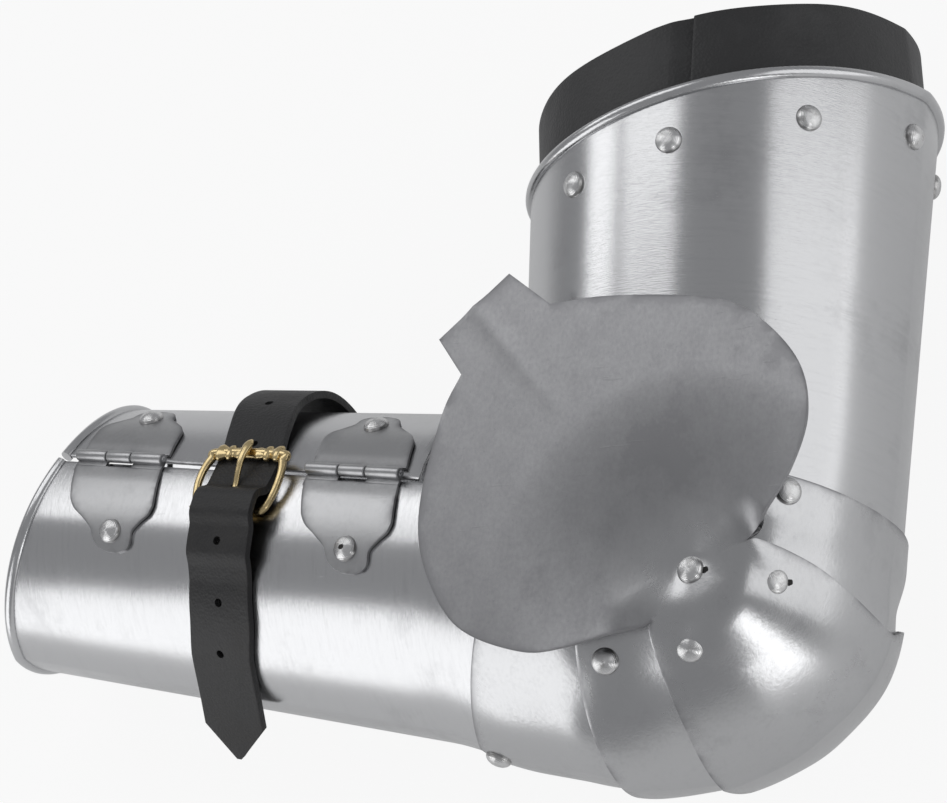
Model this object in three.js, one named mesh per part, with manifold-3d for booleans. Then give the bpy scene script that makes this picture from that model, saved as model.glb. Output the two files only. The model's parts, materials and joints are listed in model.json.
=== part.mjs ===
// Plate armour for a left arm: rerebrace, articulated elbow and hinged vambrace.
// Millimetres, +Z up. The arm lies on its inner side on a table, outer side up,
// with the upper arm along +Y and the forearm along -X.
// Everything is first laid out in the arm's own frame: X backwards, Y up the upper arm,
// Z to the outer side, with the elbow centre near the origin. The last section turns
// that frame until the arm rests on the table.

import * as THREE from 'three';
import { mergeVertices } from 'three/addons/utils/BufferGeometryUtils.js';
import { ConvexHull } from 'three/addons/math/ConvexHull.js';
import Module from 'manifold-3d';

const wasm = await Module();
wasm.setup();

// Driving dimensions

const sheet = 1.2; // steel sheet
const fitGap = 0.3; // between pieces that touch
const overrun = 4; // how far a cutter runs past what it cuts

// Upper arm tube, half widths at the elbow and at its rim
const upperArm = {
  length: 190.4, elbowFront: 66.5, elbowBack: 63.9, elbowSide: 63.4, rimFront: 74.3, rimBack: 71.2,
  rimSide: 77.4, centreX: 0.5, rimBead: 2.3, rimSlopeShares: [0.234, -0.116],
};

// Where the upper arm tube draws in to pass under the elbow cop
const drawIn = { from: 18, to: 76, side: 7, back: 1 };

// Lower edge of the rerebrace: ears down to the elbow pivot, high in front
const rerebraceFoot = { ear: 7.6, behind: 38.5, flank: 88, front: 132 };
const rerebraceFootAngles = { ear: 11, back: 21, flank: 44, front: 72 }; // degrees from the side

// Forearm tube, half widths at the elbow and towards the wrist
const forearm = {
  length: 250, elbowFront: 64.8, elbowBack: 67, elbowSide: 58.1, wristFront: 58.8, wristBack: 51.9,
  wristSide: 46.4, cuffAt: 274.6, axisHeight: 24.4, cuffBead: 2.3, cuffSlopeShares: [0.196, -0.148],
  flare: 4, flareFrom: 50, flareTo: 92,
};
const forearmRise = 8.75; // degrees above square to the upper arm
const forearmTwist = 15; // degrees by which the crease turns to the outer side
const vambraceEnd = { lower: 57, upperSide: 97, upperMiddle: 104 };

// Pivots and rivets of the elbow, as seen from the outer side
const elbowPivot = { x: 21, y: 14 };
const slideRivet = { x: 45.6, y: 12.1 };
const upperLameRivet = { x: 48.3, y: 43.4 };
const lowerPivot = { x: 19.1, y: -10.4 };
const platePivot = { x: -12.6, y: -12.2 };

// Elbow cop: a dome round the elbow pivot, and a wing over the outer side
const cop = { radius: 47.2, side: 60, core: 21.5, lap: 1.2, ear: 11, bore: 1.85 };
const wing = { rise: 13, riseFrom: 6.5, riseTo: 50, pinch: 3.6, pinchHalf: 11, pinchLength: 66 };

// Gaps between the sheets that slide over each other
const lameGap = 1;
const slideGap = 1.8;
const layer = sheet + lameGap;

const upperLame = { top: 45.5, topSide: 50.5, joinFrom: 20, joinTo: 38 };
const lowerLame = { start: -22.3, end: 11.4, endSide: 20.4, centre: 7, settle: 26 };
const elbowPlate = { start: 4, startSide: -3, end: 68, endSide: 55, settleFrom: 12.2, settle: 34 };

// Rivets
const rivet = { head: 4.7, dome: 3, lowDome: 1.6, shank: 1.5, tail: 2.6, tailHeight: 1.1 };
const shankPlay = 0.35;
const pivotPlay = 0.7;
const bandRivetDrop = 19.5; // below the rerebrace rim
const plateRivetAt = 62; // along the forearm

// Leather
const band = { thickness: 2.6, lapped: 1.2, above: 27, below: 29, lean: 0.5, leanBack: 6 };
const strap = { width: 26.8, thickness: 2.8, at: 170.5, crestShift: 16, tail: 46, tip: 15, tipFlat: 2 };
const strapHole = 1.5;
const strapRivetSpread = 7.5;

// Hinges between the two shells of the vambrace
const hinge = {
  barrel: 2.3, pin: 1.05, leaf: 1, length: 41, lowerReach: 37, upperReach: 31,
  play: 0.4, clear: 3.1, rivetInset: 8, lowerLean: -0.3, upperLean: 0.15,
};
const elbowHinge = { lowerReach: 34.5, lowerLean: -0.3, upperLean: 0.3 }; // as above where not named
const hingePlaces = [124, 232]; // along the forearm
const pinPlay = 0.15;
const seamGap = 2.4;

// Buckle
const buckle = {
  bar: 1.8, rearBar: 1.5, inside: 27.8, at: 171, tongue: 1.1, wall: 0.9, leaf: 1,
  chapeWidth: 17, chapeReach: 15, tongueWidth: 4.2,
};

// Angles round the forearm, in degrees from the outer side towards the back
const seamAngles = { elbow: -23.2, wrist: -26.5, inner: -154 };
const strapAnchorAngle = -166;
const buckleAngles = { front: -27.3, rear: -5.5 };
const strapLeavesAt = 52;

// Colours
const steel = { color: 0x8f9093, roughness: 0.32, metalness: 1 };
const brightSteel = { color: 0xb4b5b6, roughness: 0.25, metalness: 1 };
const hingeSteel = { color: 0x7d7e81, roughness: 0.4, metalness: 1 };
const blackLeather = { color: 0x1b1814, roughness: 0.55, metalness: 0 };
const strapLeather = { color: 0x1f1a16, roughness: 0.6, metalness: 0 };
const brass = { color: 0xa88a4a, roughness: 0.35, metalness: 1 };

// Small helpers

const { degToRad, radToDeg, lerp, clamp, smoothstep, euclideanModulo } = THREE.MathUtils;
const quarter = Math.PI / 2;
const full = 2 * Math.PI;
const lateral = new THREE.Vector3(0, 0, 1);

function vec(x, y, z = 0) {
  return new THREE.Vector3(x, y, z);
}

// Value at x of a list of [x, value] pairs
function table(pairs, x) {
  if (x <= pairs[0][0]) return pairs[0][1];
  for (let i = 1; i < pairs.length; i += 1) {
    const [x0, y0] = pairs[i - 1];
    const [x1, y1] = pairs[i];
    if (x <= x1) return lerp(y0, y1, (x - x0) / (x1 - x0));
  }
  return pairs[pairs.length - 1][1];
}

// Solids

function solidOf(geometry) {
  const bare = geometry.clone();
  bare.deleteAttribute('normal');
  bare.deleteAttribute('uv');
  const merged = mergeVertices(bare);
  return new wasm.Manifold(new wasm.Mesh({
    numProp: 3,
    vertProperties: new Float32Array(merged.attributes.position.array),
    triVerts: new Uint32Array(merged.index.array),
  }));
}

function geometryOf(solid) {
  const mesh = solid.getMesh();
  const points = new Float32Array(mesh.numVert * 3);
  for (let i = 0; i < mesh.numVert; i += 1) {
    for (let k = 0; k < 3; k += 1) points[3 * i + k] = mesh.vertProperties[mesh.numProp * i + k];
  }
  const geometry = new THREE.BufferGeometry();
  geometry.setAttribute('position', new THREE.BufferAttribute(points, 3));
  geometry.setIndex(new THREE.BufferAttribute(new Uint32Array(mesh.triVerts), 1));
  geometry.computeVertexNormals();
  return geometry;
}

// A closed solid from points and triangles, turned outwards if they point inwards
function solidFrom(points, index) {
  let volume = 0;
  for (let i = 0; i < index.length; i += 3) {
    const [a, b, c] = [points[index[i]], points[index[i + 1]], points[index[i + 2]]];
    volume += a.dot(b.clone().cross(c));
  }
  if (volume < 0) {
    for (let i = 0; i < index.length; i += 3) [index[i], index[i + 1]] = [index[i + 1], index[i]];
  }
  const geometry = new THREE.BufferGeometry();
  const numbers = points.flatMap((p) => p.toArray());
  geometry.setAttribute('position', new THREE.Float32BufferAttribute(numbers, 3));
  geometry.setIndex(index);
  return solidOf(geometry);
}

// The outward direction of a surface given by surfaceAt(u, v), away from the point inside
function outward(surfaceAt, u, v, inside, wrap) {
  const step = 1e-3;
  const along = surfaceAt(Math.min(u + step, 1), v).sub(surfaceAt(Math.max(u - step, 0), v));
  const across = wrap
    ? surfaceAt(u, (v + step) % 1).sub(surfaceAt(u, (v - step + 1) % 1))
    : surfaceAt(u, Math.min(v + step, 1)).sub(surfaceAt(u, Math.max(v - step, 0)));
  const normal = along.cross(across).normalize();
  if (normal.dot(surfaceAt(u, v).sub(inside)) < 0) normal.negate();
  return normal;
}

// A bent sheet. surfaceAt(u, v) is its outer face for u and v from 0 to 1, insideAt(u)
// a point on its hollow side, and thicknessAt(u, v) its thickness.
function sheetSolid(rows, columns, surfaceAt, insideAt, thicknessAt = () => sheet, wrap = false) {
  const count = wrap ? columns : columns + 1;
  const outer = [];
  const inner = [];
  for (let i = 0; i <= rows; i += 1) {
    for (let j = 0; j < count; j += 1) {
      const [u, v] = [i / rows, j / columns];
      const normal = outward(surfaceAt, u, v, insideAt(u), wrap);
      outer.push(surfaceAt(u, v));
      inner.push(surfaceAt(u, v).addScaledVector(normal, -thicknessAt(u, v)));
    }
  }
  const at = (i, j, face) => face * outer.length + i * count + (wrap ? j % columns : j);
  const index = [];
  const quad = (a, b, c, d) => index.push(a, b, c, a, c, d);
  for (let i = 0; i < rows; i += 1) {
    for (let j = 0; j < columns; j += 1) {
      quad(at(i, j, 0), at(i + 1, j, 0), at(i + 1, j + 1, 0), at(i, j + 1, 0));
      quad(at(i, j, 1), at(i, j + 1, 1), at(i + 1, j + 1, 1), at(i + 1, j, 1));
    }
  }
  for (let j = 0; j < columns; j += 1) {
    quad(at(0, j, 0), at(0, j + 1, 0), at(0, j + 1, 1), at(0, j, 1));
    quad(at(rows, j, 0), at(rows, j, 1), at(rows, j + 1, 1), at(rows, j + 1, 0));
  }
  for (let i = 0; i < rows && !wrap; i += 1) {
    quad(at(i, 0, 0), at(i, 0, 1), at(i + 1, 0, 1), at(i + 1, 0, 0));
    quad(at(i, columns, 0), at(i + 1, columns, 0), at(i + 1, columns, 1), at(i, columns, 1));
  }
  return solidFrom(outer.concat(inner), index);
}

// A round bar along a line of points, with radiusAt(i) at each of them
function barSolid(line, radiusAt, sides, closed) {
  const count = line.length;
  const points = [];
  const index = [];
  let across = lateral.clone();
  for (let i = 0; i < count; i += 1) {
    const before = line[closed ? (i + count - 1) % count : Math.max(i - 1, 0)];
    const after = line[closed ? (i + 1) % count : Math.min(i + 1, count - 1)];
    const along = after.clone().sub(before).normalize();
    const second = along.clone().cross(across).normalize();
    across = second.clone().cross(along).normalize();
    for (let k = 0; k < sides; k += 1) {
      const turn = (full * k) / sides;
      points.push(line[i].clone()
        .addScaledVector(across, radiusAt(i) * Math.cos(turn))
        .addScaledVector(second, radiusAt(i) * Math.sin(turn)));
    }
  }
  for (let i = 0; i < (closed ? count : count - 1); i += 1) {
    for (let k = 0; k < sides; k += 1) {
      const next = (k + 1) % sides;
      const [a, b] = [i * sides + k, i * sides + next];
      const [c, d] = [((i + 1) % count) * sides + next, ((i + 1) % count) * sides + k];
      index.push(a, b, c, a, c, d);
    }
  }
  for (let k = 1; k < sides - 1 && !closed; k += 1) {
    const base = (count - 1) * sides;
    index.push(0, k + 1, k, base, base + k, base + k + 1);
  }
  return solidFrom(points, index);
}

// A cylinder round the line from one point to another
function rodSolid(from, to, radius, sides = 10) {
  const geometry = new THREE.CylinderGeometry(radius, radius, from.distanceTo(to), sides);
  const along = to.clone().sub(from).normalize();
  geometry.applyQuaternion(new THREE.Quaternion().setFromUnitVectors(vec(0, 1), along));
  const middle = from.clone().lerp(to, 0.5);
  geometry.translate(middle.x, middle.y, middle.z);
  return solidOf(geometry);
}

// Cross-sections

// Distance out from the centre line and height to the side, for a section angle from 0
// on the outer side through a quarter turn at the crease to a half turn on the inner
// side. The crease comes from stopping short of a quarter turn.
function creased(angle, reach, side, crease) {
  const inner = angle > quarter;
  const s = ((inner ? Math.PI - angle : angle) / quarter) * crease;
  const up = (side * (Math.cos(s) - Math.cos(crease))) / (1 - Math.cos(crease));
  return [(reach * Math.sin(s)) / Math.sin(crease), inner ? -up : up];
}

const tubeCrease = degToRad(84);

// The whole round of a tube: creased behind, plain in front
function tubeSection(angle, front, back, side) {
  const turn = euclideanModulo(angle, full);
  if (turn <= Math.PI) return creased(turn, back, side, tubeCrease);
  return [front * Math.sin(turn), side * Math.cos(turn)];
}

// Upper arm at a height over the elbow centre
function upperArmAt(angle, y, offset = 0) {
  const k = y / upperArm.length;
  const ease = 1 - smoothstep(y, drawIn.from, drawIn.to);
  const centre = lerp(upperArm.centreX, elbowPivot.x, ease);
  const shifted = centre - upperArm.centreX;
  const front = lerp(upperArm.elbowFront, upperArm.rimFront, k) + shifted + offset;
  const back = lerp(upperArm.elbowBack, upperArm.rimBack, k) - shifted - ease * drawIn.back + offset;
  const side = lerp(upperArm.elbowSide, upperArm.rimSide, k) - ease * drawIn.side + offset;
  const [out, up] = tubeSection(angle, front, back, side);
  return vec(centre + out, y, up);
}

const forearmAlong = vec(-Math.cos(degToRad(forearmRise)), Math.sin(degToRad(forearmRise)));
const forearmBack = vec(-Math.sin(degToRad(forearmRise)), -Math.cos(degToRad(forearmRise)));
const forearmOrigin = vec(0, forearm.axisHeight);

// A point given along the forearm and across it, turned with its crease
function forearmPoint(t, out, up, twist) {
  return forearmOrigin.clone()
    .addScaledVector(forearmAlong, t)
    .addScaledVector(forearmBack, out * Math.cos(twist) - up * Math.sin(twist))
    .addScaledVector(lateral, out * Math.sin(twist) + up * Math.cos(twist));
}

// Forearm at a distance along it
function forearmAt(angle, t, offset = 0) {
  const k = t / forearm.length;
  const front = lerp(forearm.elbowFront, forearm.wristFront, k) + offset;
  const flare = forearm.flare * (1 - smoothstep(t, forearm.flareFrom, forearm.flareTo));
  const back = lerp(forearm.elbowBack, forearm.wristBack, k) + flare + offset;
  const side = lerp(forearm.elbowSide, forearm.wristSide, k) + offset;
  const twist = degToRad(forearmTwist);
  const [out, up] = tubeSection(angle + twist, front, back, side);
  return forearmPoint(t, out, up, twist);
}

function forearmNormal(angle, t) {
  const surfaceAt = (u, v) => forearmAt(angle + v * 1e-2, t + u * sheet);
  return outward(surfaceAt, 0, 0, forearmPoint(t, 0, 0, 0), false);
}

// The slanted ends of the tubes
function rimHeight(angle) {
  let y = upperArm.length;
  for (let i = 0; i < 4; i += 1) {
    const p = upperArmAt(angle, y);
    y = upperArm.length + upperArm.rimSlopeShares[0] * p.x + upperArm.rimSlopeShares[1] * p.z;
  }
  return y;
}

function cuffDistance(angle) {
  let t = forearm.cuffAt;
  for (let i = 0; i < 4; i += 1) {
    const p = forearmAt(angle, t);
    const out = p.clone().sub(forearmOrigin).dot(forearmBack);
    t = forearm.cuffAt + forearm.cuffSlopeShares[0] * out + forearm.cuffSlopeShares[1] * p.z;
  }
  return t;
}

// Moving groups. Each has its origin on its joint and its Z along the joint's axis.

const armour = new THREE.Group();

function jointGroup(parent, name, point, axis) {
  const group = new THREE.Group();
  group.name = name;
  group.position.copy(point);
  group.quaternion.setFromUnitVectors(lateral, axis.clone().normalize());
  armour.add(group);
  parent.attach(group);
  return group;
}

const onPivot = ({ x, y }) => vec(x, y);
const seamAt = (t) => degToRad(lerp(
  seamAngles.elbow,
  seamAngles.wrist,
  (t - hingePlaces[0]) / (hingePlaces[1] - hingePlaces[0]),
));
const hingeOffset = hinge.barrel + fitGap;
const seamAxisAt = (t) => forearmAt(seamAt(t), t, hingeOffset);
const seamAxisFrom = seamAxisAt(hingePlaces[1]);
const seamAxisTo = seamAxisAt(hingePlaces[0]);
const seamAxis = seamAxisTo.clone().sub(seamAxisFrom).normalize();

const rearAngle = degToRad(buckleAngles.rear);
const knuckle = buckle.rearBar + pinPlay + buckle.wall;
const buckleOffset = knuckle + fitGap;
const rearBarAt = (t) => forearmAt(rearAngle, t, buckleOffset);
const rearAxis = rearBarAt(hingePlaces[0]).sub(rearBarAt(hingePlaces[1])).normalize();

const anchorAngle = degToRad(strapAnchorAngle);
const anchorPoint = forearmAt(anchorAngle, strap.at, fitGap);

const elbowCopGroup = jointGroup(armour, 'elbow_bend', onPivot(elbowPivot), lateral);
const lowerLameGroup = jointGroup(elbowCopGroup, 'lower_lame_tilt', onPivot(lowerPivot), lateral);
const forearmGroup = jointGroup(lowerLameGroup, 'forearm_tilt', onPivot(platePivot), lateral);
const upperShellGroup = jointGroup(forearmGroup, 'vambrace_open', seamAxisTo, seamAxis);
const buckleGroup = jointGroup(forearmGroup, 'buckle_swing', rearBarAt(buckle.at), rearAxis);
const tongueGroup = jointGroup(buckleGroup, 'tongue_lift', rearBarAt(buckle.at), rearAxis);
const strapGroup = jointGroup(forearmGroup, 'strap_swing', anchorPoint, seamAxis.clone().negate());

function addMesh(group, name, solid, look) {
  const mesh = new THREE.Mesh(geometryOf(solid), new THREE.MeshStandardMaterial(look));
  mesh.name = name;
  armour.add(mesh);
  if (group !== armour) group.attach(mesh);
  return mesh;
}

// Plates wait here until their holes are drilled
const plates = new Map();

function drill(name, point, normal, radius) {
  const reach = overrun + sheet;
  const cutter = rodSolid(
    point.clone().addScaledVector(normal, -reach),
    point.clone().addScaledVector(normal, reach),
    radius,
  );
  plates.set(name, plates.get(name).subtract(cutter));
}

// A round-headed rivet along Y. Its head sits on the outer face at 0 and its tail is
// clenched under a stack of the given height.
function rivetSolid(stack, dome) {
  const foot = -stack - 2.5 * fitGap;
  const profile = [
    new THREE.Vector2(0, foot - rivet.tailHeight),
    new THREE.Vector2(rivet.tail, foot - rivet.tailHeight),
    new THREE.Vector2(rivet.tail, foot),
    new THREE.Vector2(rivet.shank, foot),
    new THREE.Vector2(rivet.shank, fitGap),
    new THREE.Vector2(rivet.head, fitGap),
  ];
  const steps = 3;
  for (let i = 1; i < steps; i += 1) {
    const turn = (quarter * i) / steps;
    profile.push(new THREE.Vector2(rivet.head * Math.cos(turn), fitGap + dome * Math.sin(turn)));
  }
  profile.push(new THREE.Vector2(0, fitGap + dome));
  return solidOf(new THREE.LatheGeometry(profile, 8));
}

const caster = new THREE.Raycaster();

// Thickness of a stack of plates under a point, down to the innermost face
function stackUnder(names, point, normal) {
  const start = point.clone().addScaledVector(normal, overrun);
  caster.set(start, normal.clone().negate());
  let deepest = 0;
  for (const name of names) {
    const look = new THREE.MeshBasicMaterial({ side: THREE.DoubleSide });
    const hits = caster.intersectObject(new THREE.Mesh(geometryOf(plates.get(name)), look));
    for (const hit of hits) {
      if (hit.distance < 3 * overrun) deepest = Math.max(deepest, hit.distance - overrun);
    }
  }
  return deepest;
}

function setRivet(group, name, point, normal, stack, dome = rivet.dome) {
  const mesh = new THREE.Mesh(geometryOf(rivetSolid(stack, dome)), new THREE.MeshStandardMaterial(brightSteel));
  mesh.name = name;
  mesh.position.copy(point);
  mesh.quaternion.setFromUnitVectors(vec(0, 1), normal);
  armour.add(mesh);
  if (group !== armour) group.attach(mesh);
}

// Where a line along Z through x and y meets a plate's outermost face on either side,
// or just beside it where the plate is already open there
function faceOf(name, { x, y }, side) {
  const look = new THREE.MeshBasicMaterial({ side: THREE.DoubleSide });
  const mesh = new THREE.Mesh(geometryOf(plates.get(name)), look);
  for (const aside of [0, rivet.tail]) {
    caster.set(vec(x + aside, y, side * upperArm.length), vec(0, 0, -side));
    const hit = caster.intersectObject(mesh)[0];
    if (hit) return { point: vec(x, y, hit.point.z), normal: hit.face.normal.clone() };
  }
  throw new Error(`nothing of ${name} at ${x}, ${y}`);
}

// How far a plate stands over a rivet's seat within reach of its head
function proudOf(name, point, normal) {
  const across = normal.clone().cross(vec(0, 1)).normalize();
  const second = normal.clone().cross(across);
  const look = new THREE.MeshBasicMaterial({ side: THREE.DoubleSide });
  const mesh = new THREE.Mesh(geometryOf(plates.get(name)), look);
  let proud = 0;
  for (let k = 0; k < 8; k += 1) {
    const start = point.clone().addScaledVector(normal, overrun)
      .addScaledVector(across, rivet.head * Math.cos((full * k) / 8))
      .addScaledVector(second, rivet.head * Math.sin((full * k) / 8));
    caster.set(start, normal.clone().negate());
    const hit = caster.intersectObject(mesh)[0];
    if (hit) proud = Math.max(proud, overrun - hit.distance);
  }
  return proud;
}

// Rerebrace

function rerebraceFootAt(angle) {
  const turn = euclideanModulo(angle, full);
  const fromSide = radToDeg(Math.min(turn, Math.abs(Math.PI - turn), full - turn));
  const { ear, back, flank, front } = rerebraceFootAngles;
  if (fromSide < ear) return elbowPivot.y - rerebraceFoot.ear * Math.sqrt(1 - (fromSide / ear) ** 2);
  if (turn < Math.PI) return lerp(elbowPivot.y, rerebraceFoot.behind, smoothstep(fromSide, ear, back));
  const side = lerp(elbowPivot.y, rerebraceFoot.flank, smoothstep(fromSide, ear, flank));
  return side + (rerebraceFoot.front - rerebraceFoot.flank) * smoothstep(fromSide, back, front);
}

// Columns of the rerebrace crowd towards its ears, where its lower edge turns sharply
function rerebraceAngle(v) {
  return full * v - 0.42 * Math.sin(4 * Math.PI * v) / 2;
}

plates.set('rerebrace_shell', (() => {
  const surfaceAt = (u, v) => {
    const angle = rerebraceAngle(v);
    const y = lerp(rerebraceFootAt(angle), rimHeight(angle) - upperArm.rimBead, u ** 1.8);
    return upperArmAt(angle, y);
  };
  const rim = [];
  for (let j = 0; j < 44; j += 1) {
    const angle = (full * j) / 44;
    rim.push(upperArmAt(angle, rimHeight(angle) - upperArm.rimBead, -sheet / 2));
  }
  return sheetSolid(6, 44, surfaceAt, () => vec(upperArm.centreX, upperArm.length / 2), () => sheet, true)
    .add(barSolid(rim, () => upperArm.rimBead, 6, true));
})());

// Elbow cop

// Reach of the dome round the elbow pivot by angle in degrees, as shares of its radius,
// and how full its section is there
const copReachShares = [
  [-130, 1.65], [-112, 1.37], [-102, 1.25], [-88, 1.12], [-75, 1.065], [-65, 1.015], [-57, 0.985],
  [-40, 0.985], [-10, 1], [10, 1.03], [25, 1.09],
];
const copCreaseDegrees = [
  [-130, 84], [-100, 84], [-60, 72], [-40, 65], [-10, 66], [10, 73], [25, 80],
];

function copAt(turn, angle, offset = 0) {
  const degrees = radToDeg(turn);
  const crease = degToRad(table(copCreaseDegrees, degrees));
  const reach = cop.radius * table(copReachShares, degrees) + offset;
  const [out, up] = creased(angle, reach, cop.side + offset, crease);
  return vec(elbowPivot.x + out * Math.cos(turn), elbowPivot.y + out * Math.sin(turn), up);
}

// Section angle at which the dome is a given distance out from the pivot
function copAngleAt(turn, out) {
  const degrees = radToDeg(turn);
  const crease = degToRad(table(copCreaseDegrees, degrees));
  const reach = cop.radius * table(copReachShares, degrees);
  return (quarter * Math.asin((out / reach) * Math.sin(crease))) / crease;
}

const copEdges = { upperBack: -8.6, upperSide: 23, lowerBack: -102, lowerSide: -125 };

// Height of the dome over the pivot's plane, carried on flat where there is no dome
function domeHeight(degrees, out) {
  const beyond = degrees > copEdges.upperSide ? degrees - copEdges.upperSide : copEdges.lowerSide - degrees;
  const turn = degToRad(clamp(degrees, copEdges.lowerSide, copEdges.upperSide));
  const height = copAt(turn, copAngleAt(turn, out)).z;
  return lerp(height, cop.side, smoothstep(beyond, 0, 50));
}

// Share of wing, from 0 on the dome to 1 on the wing, parted by a cut outside the core
function wingShare(degrees, out) {
  const reach = 45 * clamp(1 - out / cop.core, 0, 1) + 1;
  const fromUpper = smoothstep(degrees, copEdges.upperSide - reach, copEdges.upperSide + reach);
  const fromLower = smoothstep(degrees, copEdges.lowerSide + 360 - reach, copEdges.lowerSide + 360 + reach);
  return fromUpper * (1 - fromLower);
}

// The wing's outline as seen from the outer side
const wingRuns = [
  [
    [44.6, 25], [48.9, 27.9], [59.6, 41.3], [65.7, 59.5], [60.7, 79.5], [42.7, 98.4], [22.9, 105.7],
    [-10.2, 109.9], [-32, 109.7],
  ],
  [[-49, 123.1], [-74.7, 101.6]],
  [
    [-64.6, 87.5], [-70.8, 73.4], [-76.2, 44.8], [-74.5, 24.1], [-64.8, 4.4], [-52.9, -6.7], [-32, -13.8],
    [-17, -12.5], [-4.2, -8.6], [6.6, -4.8],
  ],
];

const wingOutline = [];
for (const run of wingRuns) {
  const corners = run.map(([x, y]) => vec(x, y));
  if (corners.length < 3) wingOutline.push(...corners);
  else wingOutline.push(...new THREE.CatmullRomCurve3(corners).getSpacedPoints(13));
}

const fromPivot = (p) => Math.hypot(p.x - elbowPivot.x, p.y - elbowPivot.y);
const turnOf = (p) => {
  const degrees = radToDeg(Math.atan2(p.y - elbowPivot.y, p.x - elbowPivot.x));
  return degrees < copEdges.upperSide - 1 ? degrees + 360 : degrees;
};

// The fold that runs in from the wing's tab
const foldFrom = vec(-61.8, 112.4);
const foldTo = vec(-15.1, 57.8);

function wingHeight(x, y) {
  const out = Math.hypot(x - elbowPivot.x, y - elbowPivot.y);
  const fold = foldTo.clone().sub(foldFrom).normalize();
  const across = Math.abs((x - foldFrom.x) * fold.y - (y - foldFrom.y) * fold.x);
  const along = (x - foldFrom.x) * fold.x + (y - foldFrom.y) * fold.y;
  const fade = 1 - smoothstep(along, 0, wing.pinchLength);
  const pinch = wing.pinch * fade * Math.max(0, 1 - across / wing.pinchHalf) ** 2;
  return cop.side + wing.rise * smoothstep(out, wing.riseFrom, wing.riseTo) + pinch;
}

// One side of the cop: the core round the pivot, with the wing on the outer side
function copSide(side, withWing) {
  const ribs = withWing ? wingOutline.map((p) => [turnOf(p), fromPivot(p)]) : [];
  const firstTurn = withWing ? copEdges.lowerSide + 360 : copEdges.upperSide;
  const steps = withWing ? 13 : 20;
  for (let k = 0; k <= steps; k += 1) {
    const degrees = lerp(firstTurn, copEdges.upperSide + 360, k / steps);
    const inDome = k === 0 || degrees > copEdges.lowerSide + 359;
    ribs.push([degrees, inDome ? cop.core : cop.ear]);
  }
  const seen = ribs.sort((a, b) => a[0] - b[0])
    .filter(([d], i) => i === 0 || d - ribs[i - 1][0] > 0.3)
    .filter(([d]) => d < ribs[0][0] + 359.7);
  const surfaceAt = (u, v) => {
    const at = v * seen.length;
    const i = Math.min(Math.floor(at + 1e-7), seen.length - 1);
    const [d0, r0] = seen[i];
    const [d1, r1] = i + 1 < seen.length ? seen[i + 1] : [seen[0][0] + 360, seen[0][1]];
    const degrees = lerp(d0, d1, at - i);
    const end = lerp(r0, r1, at - i);
    const out = u < 0.3 ? lerp(cop.bore, Math.min(end, cop.core), u / 0.3)
      : lerp(Math.min(end, cop.core), end, (u - 0.3) / 0.7);
    const turn = degToRad(degrees);
    const x = elbowPivot.x + out * Math.cos(turn);
    const y = elbowPivot.y + out * Math.sin(turn);
    const local = degrees > 180 + 25 ? degrees - 360 : degrees;
    const dome = domeHeight(local, Math.min(out, cop.core));
    return vec(x, y, side * lerp(dome, wingHeight(x, y), wingShare(degrees, out)));
  };
  return sheetSolid(withWing ? 7 : 5, seen.length, surfaceAt, () => onPivot(elbowPivot), () => sheet, true);
}

const copDome = sheetSolid(10, 24, (u, v) => {
  const k = Math.abs(2 * v - 1);
  const from = degToRad(lerp(copEdges.upperBack, copEdges.upperSide - 0.5, Math.min(k / 0.88, 1) ** 1.3));
  const to = degToRad(lerp(copEdges.lowerBack, copEdges.lowerSide + 0.5, Math.min(k / 0.95, 1) ** 4.2));
  const turn = lerp(from, to, u);
  const start = copAngleAt(turn, cop.core - cop.lap);
  const angle = lerp(quarter, start, k);
  return copAt(turn, v < 0.5 ? angle : Math.PI - angle);
}, () => onPivot(elbowPivot));

plates.set('elbow_cop', copDome.add(copSide(1, true)).add(copSide(-1, false)));

// Upper lame: over the foot of the rerebrace and under the cop

function upperLameAt(y, turn, angle) {
  const under = copAt(turn, angle, -sheet - slideGap);
  if (turn < 0) return under;
  // Over the pivot the sides still fall away round it, as the dome that slides over them
  const out = under.x - elbowPivot.x;
  const share = clamp(out / (cop.radius - slideGap - sheet), 0, 1);
  const far = Math.hypot(out, (y - elbowPivot.y) * (1 - share ** 2));
  const fallen = copAt(turn, copAngleAt(turn, Math.min(far, cop.radius)), -sheet - slideGap);
  const sunk = Math.sign(under.z) * Math.min(Math.abs(under.z), fallen.z);
  const over = upperArmAt(angle, y, layer - lameGap / 2);
  const k = smoothstep(y, upperLame.joinFrom, upperLame.joinTo);
  return vec(lerp(under.x, over.x, k), y, lerp(sunk, over.z, k));
}

plates.set('upper_lame', sheetSolid(10, 24, (u, v) => {
  const k = Math.abs(2 * v - 1);
  const split = 0.4;
  const edge = degToRad(lerp(23, 27, u));
  const angle = lerp(edge, Math.PI - edge, v);
  if (u < split) return upperLameAt(elbowPivot.y, degToRad(lerp(-34, 0, u / split)), angle);
  const top = lerp(upperLame.top, upperLame.topSide, k);
  return upperLameAt(lerp(elbowPivot.y, top, (u - split) / (1 - split)), 0, angle);
}, () => vec(upperArm.centreX, elbowPivot.y)));

// Lower lame: under the cop, then along the forearm

const lowerLameReach = [[-22.3, 62.5], [-12, 66], [0, 70.8], [10, 74], [26, 74.6]];
const lowerLameSide = [[-22.3, 57], [0, 58.3], [10, 59.6], [26, 60.4]];

function lowerLameAt(t, turn, angle, offset = 0) {
  if (turn > degToRad(-98)) return copAt(turn, angle, offset - layer - fitGap);
  const centre = lowerLame.centre * (1 - smoothstep(t, lowerLame.start, 0));
  const reach = table(lowerLameReach, t) - centre + offset;
  const [out, up] = creased(angle, reach, table(lowerLameSide, t) + offset, tubeCrease);
  const twist = degToRad(forearmTwist) * smoothstep(t, lowerLame.start, lowerLame.settle);
  return forearmPoint(t, out + centre, up, twist);
}

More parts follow.
